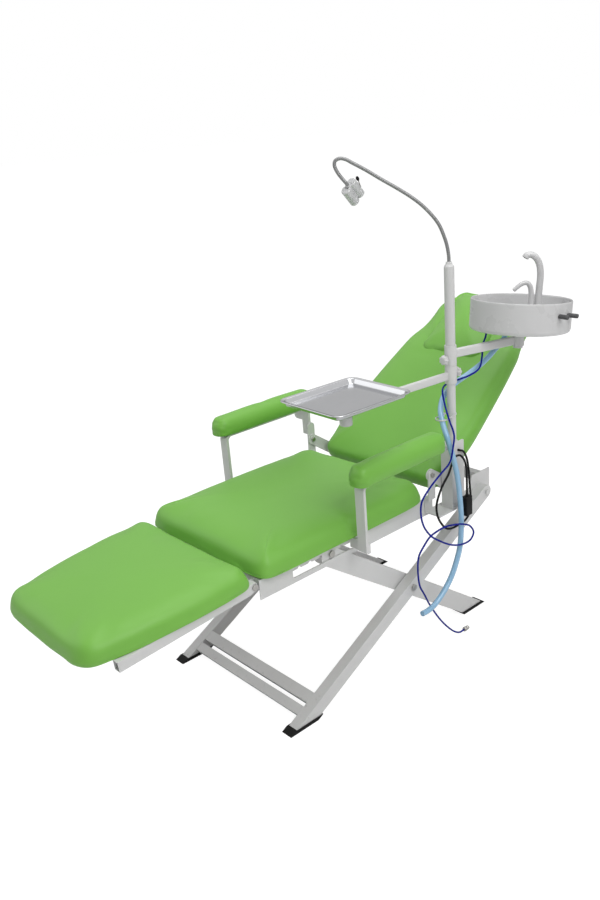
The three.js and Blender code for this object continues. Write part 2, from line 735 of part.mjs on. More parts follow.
const legrestTubeRows = [-62, -345];
const legrestTubes = legrestTubeRows.map((y) =>
  crossTube(legrestRailInner + 1, [y, (railTop + railBottom) / 2], crossTubeSize, railTop - railBottom));
const drainHoles = legrestTubeRows.map((y) => rodZ([0, y], railBottom - 1, railBottom + tubeWall + 1, 3, 12));
add(legrest, 'legrest_frame', cut(join(legrestRail(1), legrestRail(-1), ...legrestTubes), ...drainHoles), white());
const legrestOutline = mirroredOutline([
  [0, -435.2], [75, -435.2], [152, -432], [184, -415], [200, -368], [213, -297], [223, -200], [228, -107],
  [227, -60], [222, -22], [200, -7], [90, -7], [0, -7],
], 48);
add(legrest, 'legrest_cushion', cushion(legrestOutline, railTop + gap, legrestThickness, 8, 20), green());

// Swinging arms: a collar on the post, a flat bar and an eye at its end
function swingArm([z0, z1], reach, heading, centre, height, eye) {
  const collar = rodZ([0, 0], z0, z1, collarRadius);
  const bar = block(collarRadius - 2, reach - eye.inset, -armSheet / 2, armSheet / 2, centre - height / 2, centre + height / 2)
    .rotateZ(heading);
  const bore = rodZ([0, 0], z0 - 1, z1 + 1, postRadius + gap);
  return cut(join(collar, bar, eye.body), bore, ...eye.cuts);
}

function headingTo([x, y]) {
  return Math.atan2(y - postCentre[1], x - postCentre[0]);
}

function reachTo([x, y]) {
  return Math.hypot(x - postCentre[0], y - postCentre[1]);
}

// A clamp knob across the collar: threaded stem inwards, lobed head outwards.
const knobStem = 3.5;

function clampKnob(sign, z) {
  const stem = rodZ([0, 0], postRadius + gap, collarRadius + 6, knobStem, 16);
  const head = turned([[0, 0], [9, 0], [knobRadius, 4], [knobRadius, 11], [9, 15], [0, 16]], 14)
    .translate(0, 0, collarRadius + 3);
  return join(stem, head).rotateX(-sign * Math.PI / 2).translate(postCentre[0], postCentre[1], z);
}

const trayKnobHeight = trayArmCentre + 2.7;
const basinKnobHeight = basinArmCentre - 10.8;
const trayEyeRadius = 14;
const traySpindleRadius = 6;
const trayArmBottom = trayArmTop - trayArmHeight;
const toPost = (point) => [point[0] - postCentre[0], point[1] - postCentre[1]];
const knobHole = (sign, z) => rodZ([0, 0], 0, collarRadius + 5, knobStem + gap, 16)
  .rotateX(-sign * Math.PI / 2).translate(0, 0, z);

const trayArm = swingArm(trayCollar, reachTo(trayPivot), headingTo(trayPivot), trayArmCentre, trayArmHeight, {
  inset: trayEyeRadius - 2,
  body: rodZ(toPost(trayPivot), trayArmBottom, trayArmTop, trayEyeRadius),
  cuts: [rodZ(toPost(trayPivot), trayArmBottom - 1, trayArmTop + 1, traySpindleRadius + runningGap), knobHole(1, trayKnobHeight)],
});
add(frame, 'tray_arm', trayArm.translate(postCentre[0], postCentre[1], 0), white());
add(frame, 'tray_clamp_knob', clampKnob(1, trayKnobHeight), plastic());

// Tray and its spindle with the cap nut under the arm
const trayCapRadius = 16;
const trayCapTop = trayArmBottom - gap;
const trayCapBottom = trayCapTop - 30;
const trayFlangeRadius = 30;
const spindle = turned([
  [0, trayCapBottom], [trayCapRadius, trayCapBottom], [trayCapRadius, trayCapTop], [traySpindleRadius, trayCapTop],
  [traySpindleRadius, trayArmTop + gap], [trayFlangeRadius, trayArmTop + gap],
  [trayFlangeRadius, trayBottom - gap], [0, trayBottom - gap],
]).translate(trayPivot[0], trayPivot[1], 0);
add(frame, 'tray_spindle', spindle, plastic());
const trayMiddle = [222.5, -15.5];
const trayOutline = roundedRectangle(-trayWidth / 2, trayWidth / 2, -trayLength / 2, trayLength / 2, 26, 6);
const tray = layered(trayOutline, [
  [15, 0], [9, 1.5], [5.5, 11], [0.6, 12.5], [0, 14], [1.5, trayDepth], [4, 14.6], [8, 12], [11.5, 3], [17, 1.2],
]);
add(frame, 'tray', tray.rotateZ(rad(-2)).translate(trayMiddle[0], trayMiddle[1], trayBottom), steel());

// Basin arm, basin and fittings; the basin stands slightly out of plumb
const basin = new THREE.Group();
basin.position.set(basinCentre[0], basinCentre[1], basinBottom);
basin.rotation.x = -rad(basinTilt);
frame.add(basin);

const basinEyeRadius = 16;
const basinSpindleRadius = 8;
const eyeBottom = -42;
const flangeBottom = -4.6;
const eyePlace = (geometry) => geometry.rotateX(-rad(basinTilt))
  .translate(basinCentre[0] - postCentre[0], basinCentre[1] - postCentre[1], basinBottom);
const basinArm = swingArm(basinCollar, reachTo(basinCentre), headingTo(basinCentre), basinArmCentre, basinArmHeight, {
  inset: basinEyeRadius - 1,
  body: eyePlace(rodZ([0, 0], eyeBottom, flangeBottom - gap, basinEyeRadius)),
  cuts: [eyePlace(rodZ([0, 0], eyeBottom - 1, 1, basinSpindleRadius + runningGap)), knobHole(-1, basinKnobHeight)],
});
add(frame, 'basin_arm', basinArm.translate(postCentre[0], postCentre[1], 0), white());
add(frame, 'basin_clamp_knob', clampKnob(-1, basinKnobHeight), plastic());

const basinSpindle = turned([
  [0, eyeBottom - 6], [13, eyeBottom - 6], [13, eyeBottom - gap], [basinSpindleRadius, eyeBottom - gap],
  [basinSpindleRadius, flangeBottom], [28, flangeBottom], [28, 1], [0, 1],
]);

const stemHeight = 51;
const stemLength = 29;
const stemShaftRadius = 3;
const stemHeadings = { water: -9, drain: 7 };
const drainPlace = [-42, -4];
const inner = basinRadius - basinWall;
const bowl = turned([
  [0, 0], [basinRadius - 9, 0], [basinRadius - 2.5, 2.5], [basinRadius, 9], [basinRadius, basinHeight - 1.5],
  [basinRadius - 1.5, basinHeight], [inner + 1, basinHeight], [inner, basinHeight - 1.5], [inner, basinFloor + 12],
  [inner - 4, basinFloor + 4], [inner - 14, basinFloor], [0, basinFloor],
], 44);
const stemHoles = Object.values(stemHeadings).map((heading) =>
  rodX(inner - 5, basinRadius + 5, [0, stemHeight], stemShaftRadius + gap, 12).rotateZ(rad(heading)));
const drainBoss = rodZ(drainPlace, -12, 1, 10, 16);
const spoutBlockTop = basinFloor + 12;
const drainBore = rodZ(drainPlace, -13, basinFloor + 1, 5.5, 12);
const spoutBlock = block(12, 70, -13, 13, basinFloor - 1, spoutBlockTop).rotateZ(rad(spoutDirection));
add(basin, 'basin', cut(join(bowl, basinSpindle, drainBoss, spoutBlock), drainBore, ...stemHoles), plastic());

const along = (distance) => [
  distance * Math.cos(rad(spoutDirection)), distance * Math.sin(rad(spoutDirection)),
];
// A spout rises from the block and bends over towards the middle; points are [distance, height].
function spout(points, startRadius, endRadius) {
  return sweep(points.map(([distance, height]) => [...along(distance), height]), startRadius, endRadius, 12, 18);
}

const spoutFoot = spoutBlockTop + gap;
add(basin, 'cup_spout', spout([
  [45, spoutFoot], [45, 60], [45.5, 110], [46, 143], [42, 168], [32, 187], [18, 196], [7, 195], [2, 188],
], 9, 7), plastic());
add(basin, 'rinse_spout', spout([
  [26, spoutFoot], [26, 45], [26, 74], [25, 97], [20.5, 115], [12, 123.5], [1, 122], [-11, 114], [-22, 104],
], 8.5, 4.5), plastic());

function valveStem(heading) {
  const profile = [
    [0, inner - 8], [6, inner - 8], [6, inner - 2.5], [stemShaftRadius, inner - 2.5],
    [stemShaftRadius, basinRadius + 1], [6, basinRadius + 1], [6, basinRadius + stemLength], [0, basinRadius + stemLength],
  ];
  return turnedX(profile, [0, stemHeight], 1).rotateZ(rad(heading));
}

add(basin, 'water_valve_stem', valveStem(stemHeadings.water), dark());
add(basin, 'drain_valve_stem', valveStem(stemHeadings.drain), dark());

// Lamp: sleeve over the post, gooseneck, twin spot heads and toggle switch
const sleeveBottom = basinCollar[1] + gap;
const ferruleTop = sleeveTop + 10;
const sleeveBody = join(rodZ(postCentre, sleeveBottom, sleeveTop, sleeveRadius),
  turned([[0, sleeveTop - 1], [sleeveRadius, sleeveTop - 1], [8, ferruleTop - 2], [7.5, ferruleTop], [0, ferruleTop]])
    .translate(postCentre[0], postCentre[1], 0));
const sleeve = cut(sleeveBody,
  rodZ(postCentre, sleeveBottom - 1, postTop + gap, postRadius + gap),
  rodZ(postCentre, postTop - 1, ferruleTop + 1, neckRadius + 2 * gap));
add(frame, 'lamp_sleeve', sleeve, white());

// Points of the gooseneck as [reach from the post, height]
const neckPoints = [
  [0, 1046], [0, 1060], [0, 1074], [0.3, 1086], [4, 1111], [11, 1135], [23, 1164], [39, 1187], [63, 1213], [88, 1234], [121, 1257],
  [160, 1282], [196, 1306], [226, 1324], [243, 1334], [257, 1337], [268, 1332], [270, 1322], [265, 1308],
  [256, 1294],
];
const lampAxis = new THREE.Vector3(-0.1537, 0.7447, -0.6495).normalize();
const [headingX, headingY] = neckHeading;
const lampAlong = 17.6;
const lampAside = 10.7;
const lampRise = 14.1;
const lampAcross = new THREE.Vector3(
  lampAside * headingY - lampAlong * headingX, -lampAlong * headingY - lampAside * headingX, lampRise);
lampAcross.addScaledVector(lampAxis, -lampAcross.dot(lampAxis)).normalize();
const lampUp = new THREE.Vector3().crossVectors(lampAxis.clone().negate(), lampAcross);
const lamp = new THREE.Group();
lamp.applyMatrix4(new THREE.Matrix4().makeBasis(lampAcross, lampUp, lampAxis.clone().negate()).setPosition(...lampPlace));
frame.add(lamp);

const neckEnd = new THREE.Vector3(...lampPlace).addScaledVector(lampAxis, -gap);
const neckLead = new THREE.Vector3(...lampPlace).addScaledVector(lampAxis, -12);
const neckRoute = [
  ...neckPoints.map(([reach, z]) => [
    postCentre[0] + neckHeading[0] * reach, postCentre[1] + neckHeading[1] * reach, z]),
  neckLead.toArray(), neckEnd.toArray(),
];
add(frame, 'lamp_neck', tubeAlong(neckRoute, neckRadius, 8, 40), dark());

const lensRecess = 6;
const lampCylinders = [-1, 1].map((sign) => {
  const x = sign * lampSpacing / 2;
  const barrel = turned([[0, -lampLength], [lampRadius, -lampLength], [lampRadius, -2], [lampRadius - 2, 0], [0, 0]], 20);
  const recess = rodZ([0, 0], -lampLength - 1, lensRecess - lampLength, lampRadius - 1.5, 20);
  return cut(barrel, recess).translate(x, 0, 0);
});
const leverRadius = 1.4;
const bossFace = lampSpacing / 2 + lampRadius + 1;
const switchFoot = [bossFace + gap + leverRadius, 0, -38];
const lampBridge = block(-10, 10, -7, 7, -44, 0);
const switchBoss = block(bossFace - 3, bossFace, -4, 4, -44, -32);
add(lamp, 'lamp_head', join(...lampCylinders, lampBridge, switchBoss), chrome());
const lever = sweep([switchFoot, [switchFoot[0], 0, -34], [switchFoot[0] + 5, 0, -16]], leverRadius, leverRadius, 8, 3);
const leverTip = sweep([[switchFoot[0] + 4.6, 0, -18], [switchFoot[0] + 6.5, 0, -8]], 2.4, 4, 10, 2);
add(lamp, 'lamp_switch', join(lever, leverTip), dark());

// Hoses and cables, each along its hanging route
const drainTop = new THREE.Vector3(...drainPlace, -12 - gap)
  .applyAxisAngle(new THREE.Vector3(1, 0, 0), -rad(basinTilt))
  .add(new THREE.Vector3(...basinCentre, basinBottom));
const drainRoute = [
  drainTop.toArray(), [276, 542.5, 836], [268, 520, 814], [258, 480, 784], [250, 425, 762], [240, 386, 747],
  [231, 360, 731], [232, 334, 714], [252, 298, 688], [270, 286, 658], [288, 278, 631], [296, 284, 594],
  [297, 298, 548], [298, 308, 501], [300, 313, 442], [300, 317, 381], [300, 314, 331], [300, 308, 298],
  [300, 293, 263], [300, 271, 227], [300, 237, 194], [300, 198, 171], [300, 170, 165], [300, 146, 166],
];
add(frame, 'drain_hose', tubeAlong(drainRoute, 7.5, 8, 48), paleBlue());

const waterRoute = [
  [262, 484, 867.4], [261, 479, 850], [258.5, 470, 829], [265, 458, 800], [275, 432, 776], [266, 404, 763],
  [246, 370, 754], [229, 349, 745], [240, 322, 737], [262, 303, 710], [286, 290, 676],
  [306, 285, 638], [312, 272, 607], [312, 259, 572], [306, 225, 546], [304, 187, 522], [304, 154, 494],
  [304, 149, 459], [306, 157, 423], [310, 179, 389], [312, 212, 362], [314, 258, 333], [314, 305, 317],
  [312, 343, 317], [311, 356, 332], [311, 342, 356], [313, 318, 371], [312, 284, 384], [304, 243, 389],
  [296, 215, 382], [292, 195, 374], [290, 173, 356], [288, 154, 333], [286, 150, 292], [284, 158, 240],
  [282, 176, 207], [280, 201, 160], [278, 244, 94], [277, 279, 51], [276, 311, 20], [276, 333, 7.6], [276, 352, 6.8],
];
const connectorRadius = 6.5;
const connectorNeck = 5;
add(frame, 'water_tube', tubeAlong(waterRoute, 2.5, 6, 64), deepBlue());
const connector = turned([[0, 0], [connectorRadius, 0], [connectorRadius, 12], [connectorNeck, 13], [connectorNeck, 20], [0, 20]], 20)
  .rotateX(-Math.PI / 2).translate(276, 352 + gap, connectorRadius + 0.3);
add(frame, 'hose_connector', connector, steel());

const cableRoute = [
  [webX[1] + gap, 337, 574], [282, 337, 574], [284, 348, 569], [283, 365, 543], [283, 373, 505], [283, 377, 460],
  [283, 381, 413], [283, 376, 378], [283, 358, 362], [283, 327, 358], [283, 300, 358], [283, 275, 366],
  [283, 255, 387], [283, 239, 417], [283, 236, 450], [283, 258, 492], [283, 288, 522], [283, 302, 545],
  [285, 312, 562], [291, 324, 566], [298, 334, 553], [300, 340, 530], [300, 343, 490], [300, 343, 445 + gap],
];
add(frame, 'power_cable', tubeAlong(cableRoute, 2.5, 6, 48), rubber());
const adapter = extruded(roundedRectangle(291, 309, 330, 356, 3, 3), 57).translate(0, 0, 388);
add(frame, 'power_adapter', adapter, rubber());

// The cable tie holds the hoses loosely against the post
const tieCentre = [261, 291];
const tieBand = extruded(beltOutline(postCentre, postRadius + 1.8, tieCentre, 17.2), 4,
  [beltOutline(postCentre, postRadius + gap, tieCentre, 15.7)]).translate(0, 0, 670);
add(frame, 'cable_tie', tieBand, plastic());

// The origin is at the middle of the footprint, on the floor; loose cords are left out of the footprint
const cords = new Set(['drain_hose', 'water_tube', 'hose_connector', 'power_cable', 'power_adapter', 'cable_tie']);
chair.updateMatrixWorld(true);
const extent = new THREE.Box3();
chair.traverse((mesh) => {
  if (mesh.isMesh && !cords.has(mesh.name)) extent.expandByObject(mesh, true);
});
const middle = extent.getCenter(new THREE.Vector3());
frame.position.set(-middle.x, -middle.y, -extent.min.z);

export default chair;
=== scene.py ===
import json
import math

import bpy
from mathutils import Matrix, Vector, noise


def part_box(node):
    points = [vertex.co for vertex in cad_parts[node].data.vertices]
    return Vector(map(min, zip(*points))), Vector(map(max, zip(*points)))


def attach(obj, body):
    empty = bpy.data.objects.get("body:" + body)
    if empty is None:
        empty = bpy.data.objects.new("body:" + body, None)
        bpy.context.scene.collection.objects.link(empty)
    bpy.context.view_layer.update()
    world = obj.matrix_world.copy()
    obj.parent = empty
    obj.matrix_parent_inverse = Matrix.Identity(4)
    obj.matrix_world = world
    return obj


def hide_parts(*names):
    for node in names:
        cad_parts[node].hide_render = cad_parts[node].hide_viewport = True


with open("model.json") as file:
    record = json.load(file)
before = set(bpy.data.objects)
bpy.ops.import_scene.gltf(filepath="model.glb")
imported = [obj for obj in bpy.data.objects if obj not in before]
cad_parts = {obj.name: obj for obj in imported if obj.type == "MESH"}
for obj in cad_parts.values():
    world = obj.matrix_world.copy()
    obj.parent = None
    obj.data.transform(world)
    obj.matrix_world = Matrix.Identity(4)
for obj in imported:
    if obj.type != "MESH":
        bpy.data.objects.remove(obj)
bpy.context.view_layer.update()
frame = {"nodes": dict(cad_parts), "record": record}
scene = bpy.context.scene
nodes = frame["nodes"]

# The drawing's own millimetres, carried into the frame's metres by two known nodes
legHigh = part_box("front_leg_left")[1]
shaftLow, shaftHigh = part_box("slot_shaft")
legOutside = 0.2503
shaftSpot = {"y": -0.094, "z": 0.418}
origin = Vector((legHigh.x - legOutside, (shaftLow.y + shaftHigh.y) / 2 - shaftSpot["y"],
                 (shaftLow.z + shaftHigh.z) / 2 - shaftSpot["z"]))
millimetre = 0.001


def place(x, y, z):
    return Vector((x, y, z)) * millimetre + origin


def drawingSpace(x, y, z, turnX=0.0):
    spot = Matrix.Translation(place(x, y, z))
    return spot @ Matrix.Rotation(math.radians(turnX), 4, "X") @ Matrix.Scale(millimetre, 4)


chairSpace = drawingSpace(0, 0, 0)
backrestSpace = drawingSpace(0, 281, 485, 34)
legrestSpace = drawingSpace(0, -336, 428, 4)
basinSpot, basinTilt = (318, 549, 861.5), -6.4
basinSpace = drawingSpace(*basinSpot, basinTilt)
lampAxis = Vector((-0.1537, 0.7447, -0.6495)).normalized()
lampAcross = Vector((3.2231, 20.3517, 14.1))
lampAcross = (lampAcross - lampAxis * lampAcross.dot(lampAxis)).normalized()
lampUp = (-lampAxis).cross(lampAcross)
lampSpot = (100.7, 154.9, 1273)
lampTurn = Matrix((lampAcross, lampUp, -lampAxis)).transposed().to_4x4()
lampSpace = Matrix.Translation(place(*lampSpot)) @ lampTurn @ Matrix.Scale(millimetre, 4)
print("frame loaded")

# Camera
view = {"position": (1660.96, -1389.72, 1430.36), "azimuth": 49.70, "elevation": 20.66, "roll": -4.79,
        "lens": 34.904}
azimuth, elevation, roll = (math.radians(view[key]) for key in ("azimuth", "elevation", "roll"))
backward = Vector((math.sin(azimuth) * math.cos(elevation), -math.cos(azimuth) * math.cos(elevation),
                   math.sin(elevation)))
level = (-backward).cross(Vector((0, 0, 1))).normalized()
upright = level.cross(-backward)
sideways = level * math.cos(roll) + upright * math.sin(roll)
upwards = upright * math.cos(roll) - level * math.sin(roll)
camera = bpy.data.objects.new("camera", bpy.data.cameras.new("camera"))
scene.collection.objects.link(camera)
camera.data.lens = view["lens"]
camera.data.sensor_width = 36
camera.data.clip_end = 100
camera.matrix_world = Matrix.Translation(place(*view["position"])) \
    @ Matrix((sideways, upwards, backward)).transposed().to_4x4()
scene.camera = camera
print("camera placed")


# Finishes
class Wire:
    def __init__(self, paint, socket):
        self.paint = paint
        self.socket = socket

    def combine(self, operation, first, second):
        return self.paint.add("ShaderNodeMath", {"operation": operation}, (first, second))

    def __add__(self, other):
        return self.combine("ADD", self, other)

    def __radd__(self, other):
        return self.combine("ADD", other, self)

    def __sub__(self, other):
        return self.combine("SUBTRACT", self, other)

    def __rsub__(self, other):
        return self.combine("SUBTRACT", other, self)

    def __mul__(self, other):
        return self.combine("MULTIPLY", self, other)

    def __rmul__(self, other):
        return self.combine("MULTIPLY", other, self)


class Paint:
    def __init__(self, name, **values):
        self.material = bpy.data.materials.new(name)
        self.material.use_nodes = True
        self.tree = self.material.node_tree
        self.shader = self.tree.nodes["Principled BSDF"]
        self.set(**values)
        self.spot = self.add("ShaderNodeTexCoord", output="Object")

    def feed(self, socket, value):
        if isinstance(value, Wire):
            self.tree.links.new(value.socket, socket)
        else:
            socket.default_value = value

    def add(self, kind, settings=None, inputs=(), output=0):
        node = self.tree.nodes.new(kind)
        for name, value in (settings or {}).items():
            if name == "stops":
                first, last = node.color_ramp.elements
                first.position, first.color = value[0]
                last.position, last.color = value[1]
            else:
                setattr(node, name, value)
        for key, value in inputs.items() if isinstance(inputs, dict) else enumerate(inputs):
            self.feed(node.inputs[key], value)
        return Wire(self, node.outputs[output])

    def set(self, **values):
        sockets = {"colour": "Base Color", "metal": "Metallic", "rough": "Roughness", "coat": "Coat Weight",
                   "coatRough": "Coat Roughness", "sheen": "Sheen Weight", "shine": "Specular IOR Level",
                   "normal": "Normal"}
        for name, value in values.items():
            self.feed(self.shader.inputs[sockets[name]], value)

    def grain(self, size, detail=3.0, stretch=(1, 1, 1)):
        spot = self.add("ShaderNodeVectorMath", {"operation": "MULTIPLY"}, (self.spot, stretch))
        return self.add("ShaderNodeTexNoise", None, {"Vector": spot, "Scale": 1 / size, "Detail": detail})

    def cells(self, size):
        return self.add("ShaderNodeTexVoronoi", None, {"Vector": self.spot, "Scale": 1 / size})

    def between(self, factor, low, high):
        return self.add("ShaderNodeMix", {"data_type": "RGBA"}, {0: factor, 6: low, 7: high}, output=2)

    def ramp(self, factor, start, end):
        black, white = (0, 0, 0, 1), (1, 1, 1, 1)
        return self.add("ShaderNodeValToRGB", {"stops": ((start, black), (end, white))}, (factor,))

    def bump(self, height, depth, strength):
        inputs = {"Strength": strength, "Distance": depth, "Height": height}
        self.set(normal=self.add("ShaderNodeBump", None, inputs))


def powderCoat(name, low, high):
    paint = Paint(name, coat=0.05, coatRough=0.3)
    cloud = paint.grain(0.09, 4)
    peel = paint.grain(0.0011, 2)
    height = paint.add("ShaderNodeSeparateXYZ", None, (paint.spot,), output="Z")
    scuffs = paint.ramp(paint.grain(0.012, 6), 0.62, 0.74) * (1.0 - paint.ramp(height, 0.0, 0.09))
    dirt = (0.30, 0.29, 0.27, 1)
    colour = paint.between(scuffs * 0.5, paint.between(cloud, low, high), dirt)
    paint.set(colour=colour, rough=0.34 + 0.14 * cloud + scuffs * 0.2)
    paint.bump(peel, 0.00012, 0.35)
    return paint.material


def vinylSkin(name, low, high):
    paint = Paint(name, sheen=0.06, coat=0.04, coatRough=0.4, shine=0.45)
    tone = paint.grain(0.16, 3)
    pores = paint.cells(0.0016)
    creases = paint.grain(0.004, 4)
    paint.set(colour=paint.between(tone, low, high), rough=0.40 + 0.10 * tone + 0.06 * pores)
    paint.bump(pores * 0.7 + creases * 0.5, 0.00022, 0.5)
    return paint.material


def metal(name, low, high, rough, stretch=(1, 1, 1), size=0.004):
    paint = Paint(name, metal=1.0)
    streaks = paint.grain(size, 4, stretch)
    smudge = paint.grain(0.05, 3)
    paint.set(colour=paint.between(streaks, low, high), rough=rough + 0.10 * streaks + 0.06 * smudge)
    paint.bump(streaks, 0.00004, 0.4)
    return paint.material


def moulded(name, low, high, rough, coat=0.0, shine=0.5):
    paint = Paint(name, coat=coat, coatRough=0.15, shine=shine)
    cloud = paint.grain(0.05, 3)
    skin = paint.grain(0.0016, 2)
    paint.set(colour=paint.between(cloud, low, high), rough=rough + 0.08 * cloud)
    paint.bump(skin, 0.000015, 0.2)
    return paint.material


def plywood(name):
    paint = Paint(name, rough=0.7)
    rings = paint.grain(0.012, 5, (1, 0.08, 1))
    fibre = paint.grain(0.002, 3, (1, 0.05, 1))
    # The dark brown is partly the board's stain and partly painted shade, giving the dark line under the
    # seat cushion
    dark, pale = (0.13, 0.075, 0.04, 1), (0.22, 0.14, 0.08, 1)
    paint.set(colour=paint.between(rings * 0.7 + fibre * 0.3, dark, pale))
    paint.bump(fibre, 0.0002, 0.5)
    return paint.material


def liningFabric(name):
    paint = Paint(name, rough=0.95, sheen=0.1)
    fibres = paint.grain(0.0012, 5)
    dots = paint.cells(0.0032)
    dark, pale = (0.012, 0.012, 0.013, 1), (0.035, 0.035, 0.037, 1)
    paint.set(colour=paint.between(fibres, dark, pale))
    paint.bump(dots + fibres, 0.0003, 0.6)
    return paint.material


finishes = {
    "frame_paint": powderCoat("framePaint", (0.60, 0.60, 0.60, 1), (0.635, 0.635, 0.635, 1)),
    "vinyl": vinylSkin("greenVinyl", (0.160, 0.425, 0.052, 1), (0.180, 0.455, 0.064, 1)),
    "bolt_steel": metal("zincSteel", (0.38, 0.37, 0.35, 1), (0.52, 0.51, 0.49, 1), 0.24),
    "tray_steel": metal("trayStainless", (0.46, 0.465, 0.48, 1), (0.56, 0.565, 0.58, 1), 0.07,
                        (1, 0.06, 1), 0.0015),
    "lamp_chrome": moulded("lampAluminium", (0.50, 0.505, 0.51, 1), (0.56, 0.565, 0.57, 1), 0.22, 0.5, 0.9),
    "pale_plastic": moulded("palePlastic", (0.57, 0.57, 0.575, 1), (0.595, 0.595, 0.60, 1), 0.24, 0.3),
    "dark_plastic": moulded("darkPlastic", (0.002, 0.002, 0.0025, 1), (0.005, 0.005, 0.006, 1), 0.5,
                            shine=0.2),
    "shoe_rubber": moulded("shoeRubber", (0.004, 0.004, 0.004, 1), (0.010, 0.010, 0.010, 1), 0.7,
                           shine=0.25),
    "plywood": plywood("seatPlywoodStainAndShade"),
    "pale_blue_hose": moulded("paleBlueHose", (0.24, 0.45, 0.66, 1), (0.30, 0.51, 0.71, 1), 0.18, 0.4),
    "deep_blue_tube": moulded("deepBlueTube", (0.001, 0.006, 0.20, 1), (0.002, 0.010, 0.27, 1), 0.35,
                              shine=0.15),
}
neckSteel = moulded("neckSteel", (0.17, 0.172, 0.175, 1), (0.22, 0.222, 0.225, 1), 0.16, 0.6, 0.9)
stemGrey = moulded("stemGrey", (0.060, 0.060, 0.064, 1), (0.095, 0.095, 0.10, 1), 0.38)
lining = liningFabric("undersideFabric")
lensGlass = moulded("lensGlass", (0.72, 0.76, 0.80, 1), (0.85, 0.88, 0.90, 1), 0.05, 0.8)
print("finishes made")


# Shapes: points are millimetres in the space that each piece is given
def solid(name, points, faces, space, slotName, body, stands=(), material=None, smooth=True):
    mesh = bpy.data.meshes.new(name)
    mesh.from_pydata([space @ Vector(point) for point in points], [], faces)
    mesh.polygons.foreach_set("use_smooth", [smooth] * len(mesh.polygons))
    mesh.materials.append(material or finishes[slotName])
    mesh.update()
    piece = bpy.data.objects.new(name, mesh)
    scene.collection.objects.link(piece)
    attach(piece, body)
    if stands:
        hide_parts(*stands)
    return piece


def merged(*shapes):
    points, faces = [], []
    for morePoints, moreFaces in shapes:
        start = len(points)
        points += morePoints
        faces += [tuple(start + index for index in face) for face in moreFaces]
    return points, faces


def moved(shape, shift=(0, 0, 0), turn=None):
    turning = turn or Matrix.Identity(3)
    return [tuple(turning @ Vector(point) + Vector(shift)) for point in shape[0]], shape[1]


def filleted(points, radius, steps=4):
    result = [points[0]]
    for before, corner, after in zip(points, points[1:], points[2:]):
        here = Vector(corner)
        inward, outward = Vector(before) - here, Vector(after) - here
        reach = min(radius, inward.length * 0.48, outward.length * 0.48)
        start, end = here + inward.normalized() * reach, here + outward.normalized() * reach
        for step in range(steps + 1):
            share = step / steps
            spot = start * (1 - share) ** 2 + here * 2 * share * (1 - share) + end * share ** 2
            result.append(tuple(spot))
    return result + [points[-1]]


# Rings of equal count, closed by a point at each end; ripple changes a radius by the angle and height
def lathe(profile, sides=64, ripple=None):
    points, faces = [], []
    inner = profile[1:-1]
    for radius, height in inner:
        for side in range(sides):
            angle = 2 * math.pi * side / sides
            around = ripple(radius, height, angle) if ripple else radius
            points.append((around * math.cos(angle), around * math.sin(angle), height))
    low = len(points)
    points += [(0, 0, profile[0][1]), (0, 0, profile[-1][1])]
    last = (len(inner) - 1) * sides
    for side in range(sides):
        after = (side + 1) % sides
        faces.append((low, after, side))
        faces.append((low + 1, last + side, last + after))
        for ring in range(len(inner) - 1):
            a = ring * sides
            faces.append((a + side, a + after, a + sides + after, a + sides + side))
    return points, faces


def throughPoints(points, perSpan, closed=False):
    known = [Vector(point) for point in points]
    count = len(known)
    result = []
    for index in range(count if closed else count - 1):
        p1, p2 = known[index], known[(index + 1) % count]
        p0 = known[index - 1] if closed or index else p1 * 2 - p2
        p3 = known[(index + 2) % count] if closed or index + 2 < count else p2 * 2 - p1
        d0, d1, d2 = ((b - a).length ** 0.5 for a, b in ((p0, p1), (p1, p2), (p2, p3)))
        t1 = ((p1 - p0) / d0 - (p2 - p0) / (d0 + d1) + (p2 - p1) / d1) * d1
        t2 = ((p2 - p1) / d1 - (p3 - p1) / (d1 + d2) + (p3 - p2) / d2) * d1
        for step in range(perSpan):
            t = step / perSpan
            result.append(p1 * (2 * t ** 3 - 3 * t ** 2 + 1) + t1 * (t ** 3 - 2 * t ** 2 + t)
                          + p2 * (3 * t ** 2 - 2 * t ** 3) + t2 * (t ** 3 - t ** 2))
    return result if closed else result + [known[-1]]


def evenly(points, count, closed=False):
    line = [Vector(point) for point in points]
    if closed:
        line.append(line[0])
    walked = [0.0]
    for a, b in zip(line, line[1:]):
        walked.append(walked[-1] + (b - a).length)
    result, span = [], 0
    for step in range(count):
        target = walked[-1] * step / (count if closed else count - 1)
        while span < len(line) - 2 and walked[span + 1] < target:
            span += 1
        share = (target - walked[span]) / max(walked[span + 1] - walked[span], 1e-9)
        result.append(line[span].lerp(line[span + 1], min(share, 1)))
    return result


# A bar along a line of points, with a radius for each share of its length
def barAlong(line, radiusAt, sides=24):
    points, faces = [], []
    heading = (line[1] - line[0]).normalized()
    across = heading.orthogonal().normalized()
    count = len(line)
    for index, centre in enumerate(line):
        along = (line[min(index + 1, count - 1)] - line[max(index - 1, 0)]).normalized()
        across = (across - along * across.dot(along)).normalized()
        other = along.cross(across)
        radius = radiusAt(index / (count - 1))
        for side in range(sides):
            angle = 2 * math.pi * side / sides
            spot = centre + across * (radius * math.cos(angle)) + other * (radius * math.sin(angle))
            points.append(tuple(spot))
    points += [tuple(line[0]), tuple(line[-1])]
    low, last = len(points) - 2, (count - 1) * sides
    for side in range(sides):
        after = (side + 1) % sides
        faces.append((low, after, side))
        faces.append((low + 1, last + side, last + after))
        for ring in range(count - 1):
            a = ring * sides
            faces.append((a + side, a + after, a + sides + after, a + sides + side))
    return points, faces


